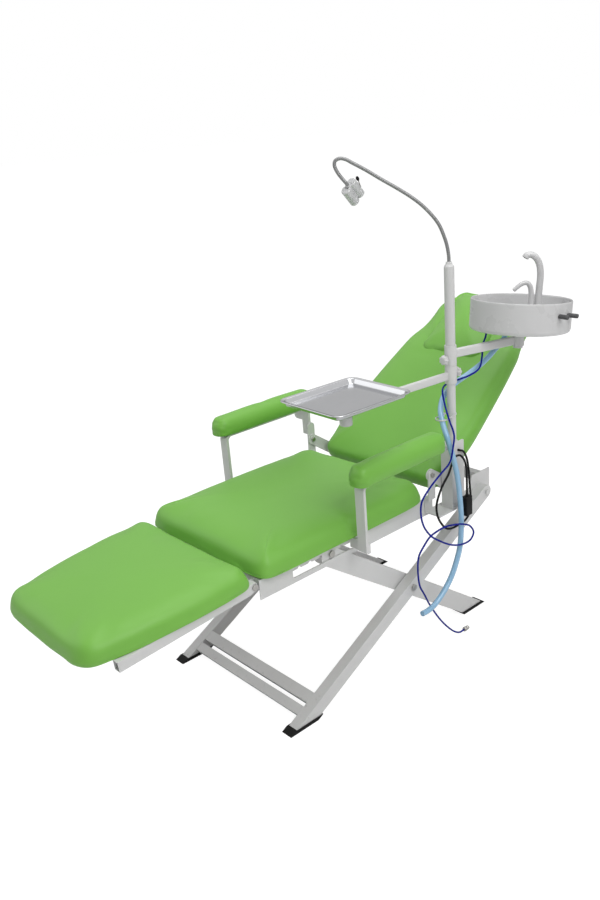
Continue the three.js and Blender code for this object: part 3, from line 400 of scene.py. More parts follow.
def cornered(x0, x1, y0, y1, radius, steps=8):
    corners = ((x1 - radius, y0 + radius, -90), (x1 - radius, y1 - radius, 0),
               (x0 + radius, y1 - radius, 90), (x0 + radius, y0 + radius, 180))
    return [(x + radius * math.cos(math.radians(start + 90 * step / steps)),
             y + radius * math.sin(math.radians(start + 90 * step / steps)))
            for x, y, start in corners for step in range(steps + 1)]


# Rings inside one flat outline, each with an inset, a height and a scale about the middle
def ringStack(outline, rings, closeLow=True, closeHigh=True):
    count = len(outline)
    middle = sum((Vector(point[:2]) for point in outline), Vector((0, 0))) / count
    points, faces = [], []
    inward = []
    for index in range(count):
        step = Vector(outline[(index + 1) % count][:2]) - Vector(outline[index - 1][:2])
        inward.append(Vector((-step.y, step.x)).normalized())
    for inset, height, scale in rings:
        for index in range(count):
            flat = Vector(outline[index][:2]) + inward[index] * inset
            flat = middle + (flat - middle) * scale
            points.append((flat.x, flat.y, height))
    for ring in range(len(rings) - 1):
        a = ring * count
        for index in range(count):
            after = (index + 1) % count
            faces.append((a + index, a + after, a + count + after, a + count + index))
    if closeLow:
        points.append((middle.x, middle.y, rings[0][1]))
        faces += [(len(points) - 1, (index + 1) % count, index) for index in range(count)]
    if closeHigh:
        last = (len(rings) - 1) * count
        points.append((middle.x, middle.y, rings[-1][1]))
        faces += [(len(points) - 1, last + index, last + (index + 1) % count) for index in range(count)]
    return points, faces


def roundedBar(length, width, height, radius):
    outline = cornered(-width / 2, width / 2, -height / 2, height / 2, radius, 6)
    rings = [(1.0, 0, 1), (0.3, 0.3, 1), (0, 1.0, 1)]
    rings += [(inset, length - height, scale) for inset, height, scale in reversed(rings)]
    shape = ringStack(outline, rings)
    return [(z, x, y) for x, y, z in shape[0]], shape[1]


# Hoses and cables
def hose(name, route, radius, slotName, stands, **facts):
    line = bpy.data.curves.new(name, "CURVE")
    line.dimensions = "3D"
    line.bevel_depth = radius * millimetre
    line.bevel_resolution = 6
    line.use_fill_caps = True
    points = throughPoints([place(*point) for point in route], 8)
    spline = line.splines.new("POLY")
    spline.points.add(len(points) - 1)
    spline.points.foreach_set("co", [value for point in points for value in (*point, 1)])
    spline.use_smooth = True
    line.materials.append(finishes[slotName])
    piece = bpy.data.objects.new(name, line)
    scene.collection.objects.link(piece)
    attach(piece, "seat_frame")
    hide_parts(*stands)
    return piece


drainHose = {
    "radius": 7.5, "length": 0.948,
    "route": [
        (276, 543.7, 849.7), (276, 542.5, 836), (268, 520, 814), (258, 480, 784), (250, 425, 762),
        (240, 386, 747), (231, 360, 731), (232, 334, 714), (252, 298, 688), (270, 286, 658),
        (288, 278, 631), (296, 284, 594), (297, 298, 548), (298, 308, 501), (300, 313, 442),
        (300, 317, 381), (300, 314, 331), (300, 308, 298), (300, 293, 263), (300, 271, 227),
        (300, 237, 194), (300, 198, 171), (300, 170, 165), (300, 146, 166),
    ],
}
waterTube = {
    "radius": 2.5, "length": 1.551,
    "route": [
        (262, 484, 867.4), (261, 479, 850), (258.5, 470, 829), (265, 458, 800), (275, 432, 776),
        (266, 404, 763), (246, 370, 754), (229, 349, 745), (240, 322, 737), (262, 303, 710),
        (286, 290, 676), (306, 285, 638), (312, 272, 607), (312, 259, 572), (306, 225, 546),
        (304, 187, 522), (304, 154, 494), (304, 149, 459), (306, 157, 423), (310, 179, 389),
        (312, 212, 362), (314, 258, 333), (314, 305, 317), (312, 343, 317), (311, 356, 332),
        (311, 342, 356), (313, 318, 371), (312, 284, 384), (304, 243, 389), (296, 215, 382),
        (292, 195, 374), (290, 173, 356), (288, 154, 333), (286, 150, 292), (284, 158, 240),
        (282, 176, 207), (280, 201, 160), (278, 244, 94), (277, 279, 51), (276, 311, 20),
        (276, 333, 7.6), (276, 352, 6.8),
    ],
}
powerCable = {
    "radius": 3.0, "length": 0.702,
    "route": [
        (276.3, 337, 574), (282, 337, 574), (284, 348, 569), (283, 365, 543), (283, 373, 505),
        (283, 377, 460), (283, 381, 413), (283, 376, 378), (283, 358, 362), (283, 327, 358),
        (283, 300, 358), (283, 275, 366), (283, 255, 387), (283, 239, 417), (283, 236, 450),
        (283, 258, 492), (283, 288, 522), (283, 302, 545), (285, 312, 562), (291, 324, 566),
        (298, 334, 553), (300, 340, 530), (300, 343, 490), (300, 343, 445.3),
    ],
}
connectorProfile = [(0, 0), (5.6, 0), (6.6, 0.8), (6.6, 9.4), (5.6, 10.2), (4.8, 10.4), (4.8, 12.4),
                    (5.4, 13), (5.4, 18.4), (4.5, 19.4), (3.2, 19.4), (3, 16), (0, 16)]


def hexNut(radius, height, angle):
    if radius < 5.5:
        return radius
    return min(radius, 6.0 / math.cos((angle + math.pi / 6) % (math.pi / 3) - math.pi / 6))


connectorSpot = (276, 352.3, 6.8)
connectorTurn = Matrix.Rotation(-math.pi / 2, 3, "X")
connectorShape = moved(lathe(connectorProfile, 60, hexNut), connectorSpot, connectorTurn)
connector = solid("hose_connector_fitting", *connectorShape, chairSpace, "bolt_steel", "seat_frame",
                  ["hose_connector"])
adapterBox = {
    "case": cornered(291, 309, 330, 356, 3), "seam": cornered(290.8, 309.2, 329.8, 356.2, 3),
    "caseRings": [(2, 388, 1), (0.6, 388.5, 1), (0, 390, 1), (0, 441, 1), (0.7, 443, 1), (2.4, 443.6, 1)],
    "seamRings": [(0.4, 414.6, 1), (0, 415, 1), (0, 416, 1), (0.4, 416.4, 1)],
    "relief": [(0, 0), (5, 0), (5, 3), (3.2, 8), (3.2, 14), (0, 14)], "reliefFoot": (300, 343, 443.4),
}
adapterShape = ringStack(adapterBox["case"], adapterBox["caseRings"])
reliefShape = moved(lathe(filleted(adapterBox["relief"], 1), 32), adapterBox["reliefFoot"])
adapterSeam = ringStack(adapterBox["seam"], adapterBox["seamRings"])
adapter = solid("power_adapter_case", *merged(adapterShape, reliefShape, adapterSeam), chairSpace,
                "dark_plastic", "seat_frame", ["power_adapter"])
hose("drain_hose_tube", drainHose["route"], drainHose["radius"], "pale_blue_hose", ["drain_hose"],
     length=drainHose["length"], far_end="bare", stiffness="medium", lay="hanging")
hose("water_supply_tube", waterTube["route"], waterTube["radius"], "deep_blue_tube", ["water_tube"],
     length=waterTube["length"], far_end="connector", stiffness="medium", lay="hanging",
     with_pieces=[connector])
hose("power_cable_lead", powerCable["route"], powerCable["radius"], "dark_plastic", ["power_cable"],
     length=powerCable["length"], far_end="fitting", stiffness="medium", lay="hanging",
     with_pieces=[adapter])
print("hoses and cables laid")

# Welded and folded metal keeps its drawn shape and gets broken edges
frameEdges = {"width": 0.0009, "fine": 0.0004, "angle": math.radians(32)}
fineNodes = {"legrest_pivot_rod", "hinge_bolt_left", "hinge_bolt_right", "leg_cross_bolt_left",
             "leg_cross_bolt_right",
             "slot_shaft", "side_plate_left", "side_plate_right", "front_shoe_left", "front_shoe_right",
             "rear_shoe_left", "rear_shoe_right"}
slotOf = {row["node"]: row["material_slot"] for row in frame["record"]["subparts"]}
for name, node in nodes.items():
    node.data.materials.clear()
    node.data.materials.append(finishes[slotOf[name]])
    node.data.polygons.foreach_set("use_smooth", [True] * len(node.data.polygons))
    weld = node.modifiers.new("weld", "WELD")
    weld.merge_threshold = 0.00002
    edge = node.modifiers.new("edge", "BEVEL")
    edge.width = frameEdges["fine"] if name in fineNodes else frameEdges["width"]
    edge.segments = 2
    edge.limit_method = "ANGLE"
    edge.angle_limit = frameEdges["angle"]
    shading = node.modifiers.new("shading", "WEIGHTED_NORMAL")
    shading.weight = 80
print("frame finished")

# Cushions
upholstery = {
    "pressure": 4.0, "frames": 20, "stiffness": 22.0, "bending": 1.2, "seamInset": 26.0,
}
simulated = []


# Side view of a cushion edge, from its flat underside to the start of the crown
def edgeSection(thickness, lowRoll, highRoll, highDrop, bulge):
    section = []
    for step in range(5):
        angle = math.pi / 2 * step / 4
        section.append((lowRoll * (1 - math.sin(angle)), lowRoll * 0.8 * (1 - math.cos(angle))))
    rise = thickness - highDrop - lowRoll * 0.8
    for step in (1, 2, 3):
        share = step / 4
        section.append((-bulge * math.sin(math.pi * share), lowRoll * 0.8 + rise * share))
    for step in range(8):
        angle = math.pi / 2 * step / 7
        section.append((highRoll * (1 - math.cos(angle)),
                        thickness - highDrop + highDrop * math.sin(angle)))
    return section


def cushion(name, outline, space, bottom, shape, body, stands, count, cap):
    edgeKeys = ("thickness", "lowRoll", "highRoll", "highDrop", "bulge")
    section = edgeSection(*(shape[key] for key in edgeKeys))
    slack = shape["slack"]
    outline = [tuple(point) for point in evenly([(x, y, 0) for x, y in outline], count, closed=True)]
    seam = upholstery["seamInset"] * shape["seam"]
    rings = [(seam, bottom, scale) for scale in (0.15, 0.4, 0.65, 0.85, 1)]
    rings.append((seam * 0.8, bottom + 0.6, 1))
    rings += [(inset + slack, bottom + height, 1) for inset, height in section]
    lastInset, lastHeight = section[-1]
    for step in range(1, 13):
        scale = 1 - 0.92 * step / 12
        rise = shape["crown"] * (1 - scale ** 2.4)
        rings.append((lastInset + slack, bottom + lastHeight + rise, scale))
    points, faces = ringStack(outline, rings)
    piece = solid(name, points, faces, space, "vinyl", body, stands)
    piece.data.materials.append(lining)
    hidden = 5 * count
    for face in piece.data.polygons:
        if max(face.vertices) < hidden or len(points) - 2 in face.vertices:
            face.material_index = 1
    held = piece.vertex_groups.new(name="held")
    held.add([index for index in range(7 * count)] + [len(points) - 2], 1.0, "REPLACE")
    simulated.append((piece, cap * millimetre))
    return piece


def mirrored(half):
    points = [(x, y, 0) for x, y in half] + [(-x, y, 0) for x, y in reversed(half) if x > 0]
    return [(point.x, point.y) for point in throughPoints(points, 10, closed=True)]


seatHalf = [(0, -329), (130, -329), (208, -327), (236, -317), (244, -286), (245, -110), (245, 90),
            (243, 180), (233, 232), (206, 256), (150, 262), (0, 263)]
seat = {"outline": mirrored(seatHalf), "bottom": 446.8,
        "shape": {"thickness": 55.5, "lowRoll": 3, "highRoll": 38, "highDrop": 42, "bulge": 2, "crown": 12,
                  "slack": -1, "seam": 1}}
backrest = {
    "outline": mirrored([(0, 0), (120, 0), (190, 0), (214, 8), (226, 34), (231, 70), (237, 115),
                         (240, 160), (237, 215), (231, 280), (222, 370), (213, 440), (203, 500),
                         (186, 544), (180, 590), (176, 640), (146, 680), (98, 700), (45, 706), (0, 707)]),
    "bottom": -50,
    "shape": {"thickness": 46, "lowRoll": 6, "highRoll": 24, "highDrop": 30, "bulge": 1, "crown": 10,
              "slack": 0, "seam": 1}}
legrest = {
    "outline": mirrored([(0, -435.2), (75, -435.2), (152, -432), (184, -415), (200, -368), (213, -297),
                         (223, -200), (228, -107), (227, -60), (222, -22), (200, -7), (90, -7), (0, -7)]),
    "bottom": 10.3,
    "shape": {"thickness": 49, "lowRoll": 3, "highRoll": 26, "highDrop": 34, "bulge": 2, "crown": 9,
              "slack": -4, "seam": 1}}
pillow = {"outline": cornered(-118, 118, 425, 690, 40), "bottom": 0.3,
          "shape": {"thickness": 18, "lowRoll": 4, "highRoll": 24, "highDrop": 15, "bulge": 1, "crown": 14,
                    "slack": 1.5, "seam": 0.7}}
pads = {"shape": {"thickness": 52, "lowRoll": 5, "highRoll": 20, "highDrop": 26, "bulge": 1, "crown": 5,
                  "slack": 0.5, "seam": 0.45},
        "left": (245, 305, -58, 266, 598), "right": (-305, -245, -58, 305, 610), "corner": 24}

seatPiece = cushion("seat_upholstery", seat["outline"], chairSpace, seat["bottom"], seat["shape"],
                    "seat_frame", ["seat_cushion"], 168, 7)
backPiece = cushion("backrest_upholstery", backrest["outline"], backrestSpace, backrest["bottom"],
                    backrest["shape"], "backrest", ["backrest_cushion"], 184, 6)
legPiece = cushion("legrest_upholstery", legrest["outline"], legrestSpace, legrest["bottom"],
                   legrest["shape"], "legrest", ["legrest_cushion"], 152, 6)
pillowPiece = cushion("head_pillow_upholstery", pillow["outline"], backrestSpace, pillow["bottom"],
                      pillow["shape"], "backrest", ["head_pillow"], 112, 5)
padPieces = {}
for side in ("left", "right"):
    x0, x1, y0, y1, top = pads[side]
    padPieces[side] = cushion(f"armrest_{side}_upholstery", cornered(x0, x1, y0, y1, pads["corner"]),
                              chairSpace, top, pads["shape"], "seat_frame", [f"armrest_pad_{side}"], 120, 4)


# Evens out small ripples, leaving the seam where it is
def relax(piece, rounds=3):
    mesh = piece.data
    held = {vertex.index for vertex in mesh.vertices if vertex.groups}
    near = [[] for vertex in mesh.vertices]
    for edge in mesh.edges:
        first, second = edge.vertices
        near[first].append(second)
        near[second].append(first)
    spots = [vertex.co.copy() for vertex in mesh.vertices]
    for turn in range(rounds):
        means = [sum((spots[other] for other in others), Vector()) / len(others) for others in near]
        spots = [spot if index in held else spot.lerp(mean, 0.5)
                 for index, (spot, mean) in enumerate(zip(spots, means))]
    for vertex, spot in zip(mesh.vertices, spots):
        vertex.co = spot
    mesh.update()


# Cloth under pressure swells every cover at once, and no point moves further than its cap
def inflate():
    for piece, cap in simulated:
        cloth = piece.modifiers.new("cloth", "CLOTH")
        settings = cloth.settings
        settings.quality = 6
        settings.mass = 0.25
        settings.tension_stiffness = upholstery["stiffness"]
        settings.compression_stiffness = upholstery["stiffness"]
        settings.shear_stiffness = upholstery["stiffness"] / 2
        settings.bending_stiffness = upholstery["bending"]
        settings.use_pressure = True
        settings.uniform_pressure_force = upholstery["pressure"]
        settings.vertex_group_mass = "held"
        settings.effector_weights.gravity = 0
    for number in range(1, upholstery["frames"] + 1):
        scene.frame_set(number)
    graph = bpy.context.evaluated_depsgraph_get()
    swollen = []
    for piece, cap in simulated:
        shown = piece.evaluated_get(graph).to_mesh()
        swollen.append([vertex.co.copy() for vertex in shown.vertices])
    for (piece, cap), places in zip(simulated, swollen):
        piece.modifiers.remove(piece.modifiers["cloth"])
        for vertex, target in zip(piece.data.vertices, places):
            step = target - vertex.co
            if step.length > cap:
                step *= cap / step.length
            vertex.co += step
        relax(piece)
    scene.frame_set(1)


inflate()
print("cushions inflated")


# Folds and dents pressed into a cover: depth works on a point in the drawing's millimetres
def press(piece, space, depthAt):
    back = space.inverted()
    normals = [vertex.normal.copy() for vertex in piece.data.vertices]
    for vertex, normal in zip(piece.data.vertices, normals):
        depth = depthAt(back @ vertex.co)
        if depth:
            vertex.co -= normal * depth * millimetre
    piece.data.update()


def hump(value, middle, width):
    return math.exp(-((value - middle) / width) ** 2)


def seatFolds(point):
    x, y, z = point
    pinch = 7.5 * hump(y, -33 + 0.3 * (x - 244), 7) * hump(x, 244, 46) * (z > 458)
    rear = 1.5 * hump(y, 150, 60) * hump(x, 0, 160) * (z > 500)
    drawn = 0.7 * noise.noise(Vector((x * 0.02, y * 0.02, z * 0.05))) * (z > 455)
    return pinch + rear + drawn


def padFolds(point):
    x, y, z = point
    front = hump(y, -58, 34) * (z > 602)
    gather = noise.noise(Vector((x * 0.02, y * 0.05, z * 0.16)))
    crease = abs(noise.noise(Vector((x * 0.05 + 7, y * 0.03, z * 0.10))))
    drawn = noise.noise(Vector((x * 0.02, y * 0.015, z * 0.03)))
    return front * (3.2 * gather + 3.4 * (0.45 - crease)) + 0.4 * drawn


def backFolds(point):
    x, s, n = point
    under = 2.2 * hump(s, 416, 12) * hump(x, 10, 115) * (n > -12)
    return under + 0.7 * noise.noise(Vector((x * 0.012, s * 0.012, n * 0.03))) * (n > -40)


def pillowFolds(point):
    x, s, n = point
    fade = min(max((s - 470) / 190, 0), 1) * 5.0 + min(max((-x - 20) / 90, 0), 1) * 6.0
    wave = 0.9 * noise.noise(Vector((x * 0.03, s * 0.03, n * 0.04)))
    return (fade + wave) * (n > 6)


def legFolds(point):
    x, y, z = point
    return 0.6 * noise.noise(Vector((x * 0.013, y * 0.013, z * 0.04))) * (z > 14)


press(seatPiece, chairSpace, seatFolds)
press(backPiece, backrestSpace, backFolds)
press(pillowPiece, backrestSpace, pillowFolds)
press(legPiece, legrestSpace, legFolds)
press(padPieces["left"], chairSpace, padFolds)
press(padPieces["right"], chairSpace, padFolds)
for piece, fill in ((seatPiece, 0.85), (backPiece, 0.8), (legPiece, 0.85), (pillowPiece, 0.5),
                    (padPieces["left"], 0.8), (padPieces["right"], 0.8)):
    finer = piece.modifiers.new("finer", "SUBSURF")
    finer.levels = 1
    finer.render_levels = 1
print("cushions upholstered")

# Post, sleeve and the arms that swing on it
post = {"centre": (256, 338), "radius": 11.5, "bottom": 406.3, "top": 1040}
onPost = (*post["centre"], 0)
postProfile = [(0, post["bottom"]), (post["radius"], post["bottom"]), (post["radius"], post["top"]),
               (0, post["top"])]
solid("post_tube", *moved(lathe(filleted(postProfile, 0.8)), onPost), chairSpace, "frame_paint",
      "seat_frame", ["post"])
sleeveProfile = [(0, 858.8), (13, 858.8), (13, 861.4), (12.5, 861.8), (12.5, 862.4), (13, 862.8),
                 (13, 1058), (12.4, 1061.4), (8.6, 1066), (7.6, 1072), (0, 1072)]
solid("lamp_sleeve_tube", *moved(lathe(filleted(sleeveProfile, 0.7, 3)), onPost), chairSpace,
      "frame_paint", "lamp", ["lamp_sleeve"])


def armOnPost(name, low, high, target, centre, height, eye, body, node):
    dx, dy = target[0] - post["centre"][0], target[1] - post["centre"][1]
    reach = math.hypot(dx, dy)
    turn = Matrix.Rotation(math.atan2(dy, dx), 3, "Z")
    lip = 15.5
    profile = [(0, low), (lip, low), (lip, low + 1.6), (lip - 0.5, low + 2), (lip - 0.5, low + 2.6),
               (lip, low + 3), (lip, high - 3), (lip - 0.5, high - 2.6), (lip - 0.5, high - 2),
               (lip, high - 1.6), (lip, high), (0, high)]
    collar = moved(lathe(filleted(profile, 0.5, 2)), onPost)
    bar = moved(roundedBar(reach - 14 - eye["inset"], 11, height, 4.4), (14, 0, centre))
    bar = moved(bar, onPost, turn)
    return solid(name, *merged(collar, bar, eye["shape"]), chairSpace, "frame_paint", body, [node])


traySpot = (225, -20)
trayEyeProfile = filleted([(0, 767.3), (14, 767.3), (14, 789.3), (0, 789.3)], 1.2)
trayEye = {"inset": 10, "shape": moved(lathe(trayEyeProfile), (*traySpot, 0))}
armOnPost("tray_arm_bar", 757, 805, traySpot, 778.3, 22, trayEye, "tray_arm", "tray_arm")
basinEyeProfile = filleted([(0, -42), (16, -42), (16, -4.9), (0, -4.9)], 1.2)
basinLean = Matrix.Rotation(math.radians(basinTilt), 3, "X")
basinEye = {"inset": 12, "shape": moved(lathe(basinEyeProfile), basinSpot, basinLean)}
armOnPost("basin_arm_bar", 805.3, 858.5, basinSpot[:2], 834.8, 24, basinEye, "basin_arm", "basin_arm")


def lobes(radius, height, angle):
    return radius + 1.3 * math.cos(7 * angle) * min(max((radius - 6) / 5, 0), 1)


def starKnob(name, sign, height, body, node):
    stem = lathe([(0, 11.8), (3.5, 11.8), (3.5, 20), (0, 20)], 24)
    headProfile = [(0, 18.5), (8, 18.5), (8, 20), (11.7, 21.5), (11.7, 31), (9, 34), (0, 34.5)]
    head = lathe(filleted(headProfile, 1.8, 5), 84, lobes)
    turn = Matrix.Rotation(-sign * math.pi / 2, 3, "X")
    shape = moved(merged(stem, head), (*post["centre"], height), turn)
    return solid(name, *shape, chairSpace, "pale_plastic", body, [node])


starKnob("tray_star_knob", 1, 781, "tray_knob", "tray_clamp_knob")
starKnob("basin_star_knob", -1, 824, "basin_knob", "basin_clamp_knob")
print("post and arms made")

# Tray
tray = {"width": 219, "length": 249, "middle": (222.5, -15.5, 795), "turn": -2, "corner": 26}
trayRings = [(17.2, 0.1, 0.05), (17.2, 0.1, 0.5), (17.2, 0.0, 1), (15.2, 0.2, 1), (13.6, 1.0, 1),
             (12.6, 2.6, 1), (9.4, 11.2, 1), (8.2, 12.6, 1), (6.6, 13.1, 1), (3.2, 12.9, 1),
             (1.4, 12.4, 1), (0.4, 12.6, 1), (0, 13.4, 1), (0.3, 14.4, 1), (1.3, 15.0, 1),
             (2.6, 14.9, 1), (3.6, 14.4, 1), (6.6, 14.2, 1), (8.6, 13.7, 1), (9.9, 12.4, 1), (13.4, 3.4, 1),
             (14.6, 1.9, 1), (16.6, 1.3, 1), (20, 1.2, 1), (20, 1.2, 0.5), (20, 1.2, 0.05)]
half = (tray["width"] / 2, tray["length"] / 2)
trayShape = ringStack(cornered(-half[0], half[0], -half[1], half[1], tray["corner"], 12), trayRings)
trayShape = moved(trayShape, tray["middle"], Matrix.Rotation(math.radians(tray["turn"]), 3, "Z"))
solid("tray_pan", *trayShape, chairSpace, "tray_steel", "tray", ["tray"])
spindleProfile = [(0, 737), (14.5, 737), (16, 738.5), (16, 767), (6, 767), (6, 789.6), (30, 789.6),
                  (30, 794.7), (0, 794.7)]
solid("tray_spindle_cap", *moved(lathe(filleted(spindleProfile, 1.0, 3)), (*traySpot, 0)), chairSpace,
      "pale_plastic", "tray", ["tray_spindle"])

# Basin with its spouts and valve stems
basin = {"radius": 132, "height": 83, "wall": 4, "floor": 8, "heading": math.radians(49.7),
         "drain": (-42, -4, 0)}
outer, inner, rim = basin["radius"], basin["radius"] - basin["wall"], basin["height"]
bowlProfile = [(0, 0), (outer - 9, 0), (outer - 2.5, 2.5), (outer, 9), (outer, rim - 3.5),
               (outer - 0.4, rim - 0.8), (outer - 1.8, rim), (inner + 0.8, rim - 0.8),
               (inner, rim - 3.5), (inner, 24), (inner - 2, 15),
               (inner - 8, 9.6), (inner - 17, basin["floor"]), (30, 7.4), (0, 7.2)]
bowl = lathe(filleted(bowlProfile, 1.6, 3), 144)
flangeProfile = [(0, -48), (13, -48), (13, -42.3), (8, -42.3), (8, -4.6), (28, -4.6), (28, 1), (0, 1)]
flange = lathe(filleted(flangeProfile, 0.8, 3))
outletProfile = filleted([(0, -12), (7.6, -12), (10, -10), (10, 1), (0, 1)], 1, 3)
outlet = moved(lathe(outletProfile, 40), basin["drain"])
ridgeRings = [(0, 7, 1), (0, 16, 1), (0.6, 18.6, 1), (2.4, 20, 1), (6, 20, 1)]
ridge = moved(ringStack(cornered(12, 70, -13, 13, 12), ridgeRings),
              turn=Matrix.Rotation(basin["heading"], 3, "Z"))
solid("basin_bowl", *merged(bowl, flange, outlet, ridge), basinSpace, "pale_plastic", "basin", ["basin"])
grateRipple = [(0, 8.2), (13, 8.2), (14, 9.2), (13, 10.2), (9, 10.6), (0, 10.8)]
solid("basin_drain_grate", *moved(lathe(filleted(grateRipple, 0.8, 3), 48), basin["drain"]), basinSpace,
      "bolt_steel", "basin")
# Painted shade: six dark marks on the closed drain grate stand in for the shade inside its open slots
slotCircle, slotLength, slotHeight = 6.2, 3.2, 10.8
slotShadeShapes = []
for step in range(6):
    turn = math.radians(60 * step)
    slotSpot = (slotCircle * math.cos(turn) - slotLength / 2, slotCircle * math.sin(turn), slotHeight)
    slotShadeShapes.append(moved(roundedBar(slotLength, 3.2, 0.8, 0.3), slotSpot))
solid("basin_drain_slot_shade", *moved(merged(*slotShadeShapes), basin["drain"]), basinSpace, "dark_plastic", "basin")


def alongSpout(points):
    return [Vector((distance * math.cos(basin["heading"]), distance * math.sin(basin["heading"]), height))
            for distance, height in points]


def spout(name, points, radii, body, node):
    line = evenly(throughPoints(alongSpout(points), 12), 110)

    def radiusAt(share):
        start, end, flare = radii
        taper = start + (end - start) * share
        nose = flare * max(0, (share - 0.93) / 0.07)
        return taper + nose

    tip = line[-1]
    heading = (line[-1] - line[-2]).normalized()
    # Painted shade: a thin dark disc on the closed spout tip stands in for the shaded opening of the spout
    mouthShadeRadius = (radii[1] + radii[2]) * 0.62
    mouthShade = barAlong([tip + heading * 0.2, tip + heading * 0.5], lambda share: mouthShadeRadius, 24)
    piece = solid(name, *barAlong(line, radiusAt, 32), basinSpace, "pale_plastic", body, [node])
    solid(name + "_mouth", *mouthShade, basinSpace, "dark_plastic", body)
    foot = line[0]
    ringProfile = [(0, 0), (radii[0] + 0.1, 0), (radii[0] + 0.1, 2.6), (radii[0] - 0.2, 3.6), (0, 3.6)]
    ring = lathe(filleted(ringProfile, 0.7, 3), 48)
    solid(name + "_ring", *moved(ring, tuple(foot)), basinSpace, "pale_plastic", body)
    return piece


cupLine = [(45, 20.3), (45, 60), (45.5, 110), (46, 143), (42, 168), (32, 187), (18, 196), (7, 195),
           (2, 188)]
rinseLine = [(26, 20.3), (26, 45), (26, 74), (25, 97), (20.5, 115), (12, 123.5), (1, 122), (-11, 114),
             (-22, 104)]
spout("cup_filler_spout", cupLine, (9.3, 8.4, 0.6), "cup_spout", "cup_spout")
spout("bowl_rinse_spout", rinseLine, (9.0, 5.2, 0.2), "rinse_spout", "rinse_spout")


def ribbed(radius, height, angle):
    return radius + (0.3 * math.cos(16 * angle) if 136 < height < 160 and radius > 5 else 0)


def valveHandle(name, heading, body, node):
    profile = [(0, 120), (6, 120), (6, 125.5), (3, 125.5), (3, 133), (5.2, 133), (6, 134.5), (6, 136),
               (5.6, 137), (5.6, 158), (5.4, 160), (4.4, 161), (0, 161)]
    valveHeight = 51
    shape = moved(lathe(filleted(profile, 0.5, 2), 96, ribbed), (0, 0, valveHeight),
                  Matrix.Rotation(math.pi / 2, 3, "Y"))
    shape = moved(shape, turn=Matrix.Rotation(math.radians(heading), 3, "Z"))
    return solid(name, *shape, basinSpace, "dark_plastic", body, [node], material=stemGrey)


valveHandle("water_valve_handle", -9, "water_valve", "water_valve_stem")
valveHandle("drain_valve_handle", 7, "drain_valve", "drain_valve_stem")
print("tray and basin made")

# Lamp: flexible neck, twin heads and a toggle
lamp = {"spacing": 23, "radius": 12.2, "length": 50, "neck": 4.5, "heading": (-0.647, -0.763)}
neckReach = [(0, 1046), (0, 1060), (0, 1074), (0.3, 1086), (4, 1111), (11, 1135), (23, 1164), (39, 1187),
             (63, 1213), (88, 1234), (121, 1257), (160, 1282), (196, 1306), (226, 1324), (243, 1334),
             (257, 1337), (268, 1332), (270, 1322), (265, 1308), (256, 1294)]
neckRoute = [Vector((*(foot + way * reach for foot, way in zip(post["centre"], lamp["heading"])), z))
             for reach, z in neckReach]
neckRoute += [Vector(lampSpot) - lampAxis * 12, Vector(lampSpot) - lampAxis * 0.3]
neckLine = evenly(throughPoints(neckRoute, 16), 1400)


def coiled(share):
    return lamp["neck"] - 0.1 + 0.1 * math.cos(2 * math.pi * 330 * share)


solid("lamp_flexible_neck", *barAlong(neckLine, coiled, 20), chairSpace, "dark_plastic", "lamp",
      ["lamp_neck"],
      material=neckSteel)
barrel, mouthEnd = lamp["radius"], -lamp["length"]
barrelProfile = [(0, mouthEnd + 4), (10.4, mouthEnd + 4), (10.4, mouthEnd), (barrel, mouthEnd),
                 (barrel, mouthEnd + 2)]
for ring in (-45, -37, -33):
    groove = ((0, 0), (0.5, 0.4), (0.5, 1.2), (0, 1.6))
    barrelProfile += [(barrel - depth, ring + height) for depth, height in groove]
barrelProfile += [(barrel, -2), (barrel - 1.6, 0), (0, 0)]
sides = (-lamp["spacing"] / 2, lamp["spacing"] / 2)
barrels = [moved(lathe(filleted(barrelProfile, 0.5, 3), 72), (side, 0, 0)) for side in sides]
bridgeRings = [(1.2, -44, 1), (0.2, -43.6, 1), (0, -42.6, 1), (0, -1.4, 1), (0.3, -0.4, 1), (1.2, 0, 1)]
bridge = ringStack(cornered(-10, 10, -7, 7, 3), bridgeRings)
collar = lathe(filleted([(0, -2), (6.4, -2), (6.4, 3.4), (5.4, 4), (0, 4)], 0.6, 3), 40)
boss = ringStack(cornered(20.5, 23.5, -4, 4, 1.2), [(0.6, -44, 1), (0, -43, 1), (0, -33, 1), (0.6, -32, 1)])
solid("lamp_twin_head", *merged(*barrels, bridge, collar, boss), lampSpace, "lamp_chrome", "lamp",
      ["lamp_head"])
lensProfile = filleted([(0, -49), (5, -49.6), (10.1, -48.2), (10.1, -46.5), (0, -46.5)], 0.6, 3)
lenses = [moved(lathe(lensProfile, 48), (side, 0, 0)) for side in sides]
solid("lamp_lenses", *merged(*lenses), lampSpace, "lamp_chrome", "lamp", material=lensGlass)
foot = Vector((25.2, 0, -38))
leverLine = evenly(throughPoints([foot, foot + Vector((0, 0, 4)), foot + Vector((5, 0, 22))], 8), 20)
lever = barAlong(leverLine, lambda share: 1.4, 16)
toggleLine = evenly([foot + Vector((4.4, 0, 19)), foot + Vector((6.5, 0, 30))], 16)
toggle = barAlong(toggleLine, lambda share: 2.2 + 1.8 * math.sin(math.pi * min(share * 0.9, 1)) ** 0.8, 24)
solid("lamp_toggle_lever", *lever, lampSpace, "dark_plastic", "lamp_switch", ["lamp_switch"],
      material=finishes["bolt_steel"])
solid("lamp_toggle_tip", *toggle, lampSpace, "dark_plastic", "lamp_switch")
print("lamp made")

# Cable tie, with its lock and cut tail
tie = {"low": 670, "high": 674, "post": (256, 338, 13.3), "hoses": (261, 291, 17.2),
       "lock": (242.5, 316, 672), "tail": (236, 322, 672.4), "tailTurn": 62}


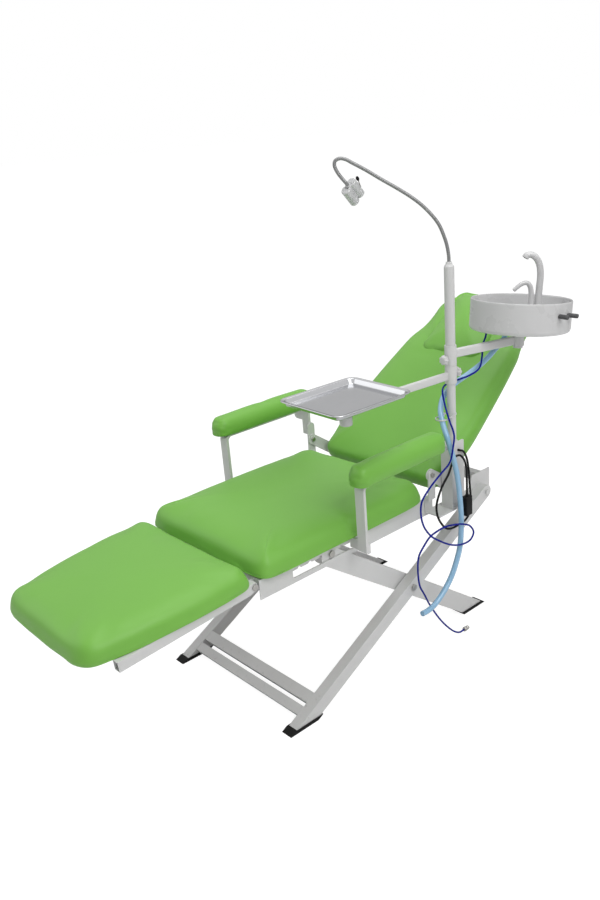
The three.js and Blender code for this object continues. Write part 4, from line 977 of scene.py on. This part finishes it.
def beltAround(first, second, steps=20):
    (ax, ay, ra), (bx, by, rb) = first, second
    heading = math.atan2(by - ay, bx - ax)
    lean = math.acos((ra - rb) / math.hypot(bx - ax, by - ay))

    def arc(x, y, radius, start, sweep):
        angles = [start + sweep * step / steps for step in range(steps + 1)]
        return [(x + radius * math.cos(angle), y + radius * math.sin(angle)) for angle in angles]

    return arc(*second, heading - lean, 2 * lean) + arc(*first, heading + lean, 2 * math.pi - 2 * lean)


tieRings = [(1.3, tie["low"], 1), (0.2, tie["low"], 1), (0, tie["low"] + 0.4, 1), (0, tie["high"] - 0.4, 1),
            (0.2, tie["high"], 1), (1.3, tie["high"], 1), (1.3, tie["low"], 1)]
tieBand = ringStack(beltAround(tie["post"], tie["hoses"]), tieRings, closeLow=False, closeHigh=False)
tieLock = moved(roundedBar(6, 5.4, 6.4, 1), tie["lock"])
tailTurn = Matrix.Rotation(math.radians(tie["tailTurn"]), 3, "Z")
tieTail = moved(roundedBar(14, 1.2, 3.4, 0.4), tie["tail"], tailTurn)
solid("cable_tie_band", *merged(tieBand, tieLock, tieTail), chairSpace, "pale_plastic", "seat_frame",
      ["cable_tie"])
print("cable tie made")

# Studio
lights = {
    "key": {"place": (3200, -500, 3300), "size": 2.6, "power": 78, "tint": (1, 1, 0.99)},
    "fill": {"place": (-2600, -2400, 2400), "size": 3.0, "power": 20, "tint": (0.98, 0.99, 1)},
    "top": {"place": (200, 600, 3800), "size": 3.0, "power": 46, "tint": (1, 1, 1)},
}
aim = place(0, 50, 500)
for name, light in lights.items():
    data = bpy.data.lights.new(name, "AREA")
    data.shape = "DISK"
    data.size = light["size"]
    data.energy = light["power"]
    data.color = light["tint"]
    lightPiece = bpy.data.objects.new(name, data)
    scene.collection.objects.link(lightPiece)
    spot = place(*light["place"])
    lightPiece.location = spot
    lightPiece.rotation_euler = (aim - spot).to_track_quat("-Z", "Y").to_euler()

world = bpy.data.worlds.new("studio")
scene.world = world
world.use_nodes = True
tree = world.node_tree
background = tree.nodes["Background"]
background.inputs["Color"].default_value = (1, 1, 1, 1)
rays = tree.nodes.new("ShaderNodeLightPath")
room = tree.nodes.new("ShaderNodeTexCoord")
split = tree.nodes.new("ShaderNodeSeparateXYZ")
tree.links.new(room.outputs["Generated"], split.inputs[0])
ambient = {"shade": (-0.1, 0.7, 0.20, 0.48), "mirror": (0.0, 0.5, 0.20, 1.0)}


# Strength that grows with the height of the direction looked in
def byHeight(start, end, low, high):
    growth = tree.nodes.new("ShaderNodeMapRange")
    for key, value in (("From Min", start), ("From Max", end), ("To Min", low), ("To Max", high)):
        growth.inputs[key].default_value = value
    tree.links.new(split.outputs["Z"], growth.inputs["Value"])
    return growth.outputs[0]


blend = tree.nodes.new("ShaderNodeMix")
seen = tree.nodes.new("ShaderNodeMix")
either = tree.nodes.new("ShaderNodeMath")
either.operation = "MAXIMUM"
tree.links.new(rays.outputs["Is Glossy Ray"], either.inputs[0])
tree.links.new(rays.outputs["Is Transmission Ray"], either.inputs[1])
tree.links.new(either.outputs[0], blend.inputs[0])
tree.links.new(byHeight(*ambient["shade"]), blend.inputs[2])
tree.links.new(byHeight(*ambient["mirror"]), blend.inputs[3])
tree.links.new(rays.outputs["Is Camera Ray"], seen.inputs[0])
tree.links.new(blend.outputs[0], seen.inputs[2])
seen.inputs[3].default_value = 1.0
tree.links.new(seen.outputs[0], background.inputs["Strength"])

ground = {"reach": 60.0, "height": -0.0004, "colour": (0.86, 0.86, 0.86, 1), "glow": 1.28, "share": 0.72}
corners = ((-1, -1), (1, -1), (1, 1), (-1, 1))
floorMesh = bpy.data.meshes.new("floor")
floorPoints = [(x * ground["reach"], y * ground["reach"], ground["height"]) for x, y in corners]
floorMesh.from_pydata(floorPoints, [], [(0, 1, 2, 3)])
floor = bpy.data.objects.new("floor", floorMesh)
scene.collection.objects.link(floor)
floorPaint = bpy.data.materials.new("floorWhite")
floorPaint.use_nodes = True
tree = floorPaint.node_tree
tree.nodes.clear()
diffuse = tree.nodes.new("ShaderNodeBsdfDiffuse")
diffuse.inputs["Color"].default_value = ground["colour"]
glow = tree.nodes.new("ShaderNodeEmission")
glow.inputs["Strength"].default_value = ground["glow"]
rays = tree.nodes.new("ShaderNodeLightPath")
either = tree.nodes.new("ShaderNodeMath")
either.operation = "MAXIMUM"
share = tree.nodes.new("ShaderNodeMath")
share.operation = "MULTIPLY"
share.inputs[1].default_value = ground["share"]
blendNode = tree.nodes.new("ShaderNodeMixShader")
output = tree.nodes.new("ShaderNodeOutputMaterial")
tree.links.new(rays.outputs["Is Camera Ray"], either.inputs[0])
tree.links.new(rays.outputs["Is Transmission Ray"], either.inputs[1])
tree.links.new(either.outputs[0], share.inputs[0])
tree.links.new(share.outputs[0], blendNode.inputs[0])
tree.links.new(diffuse.outputs[0], blendNode.inputs[1])
tree.links.new(glow.outputs[0], blendNode.inputs[2])
tree.links.new(blendNode.outputs[0], output.inputs["Surface"])
floorMesh.materials.append(floorPaint)
scene.view_settings.view_transform = "Standard"
print("studio lit")
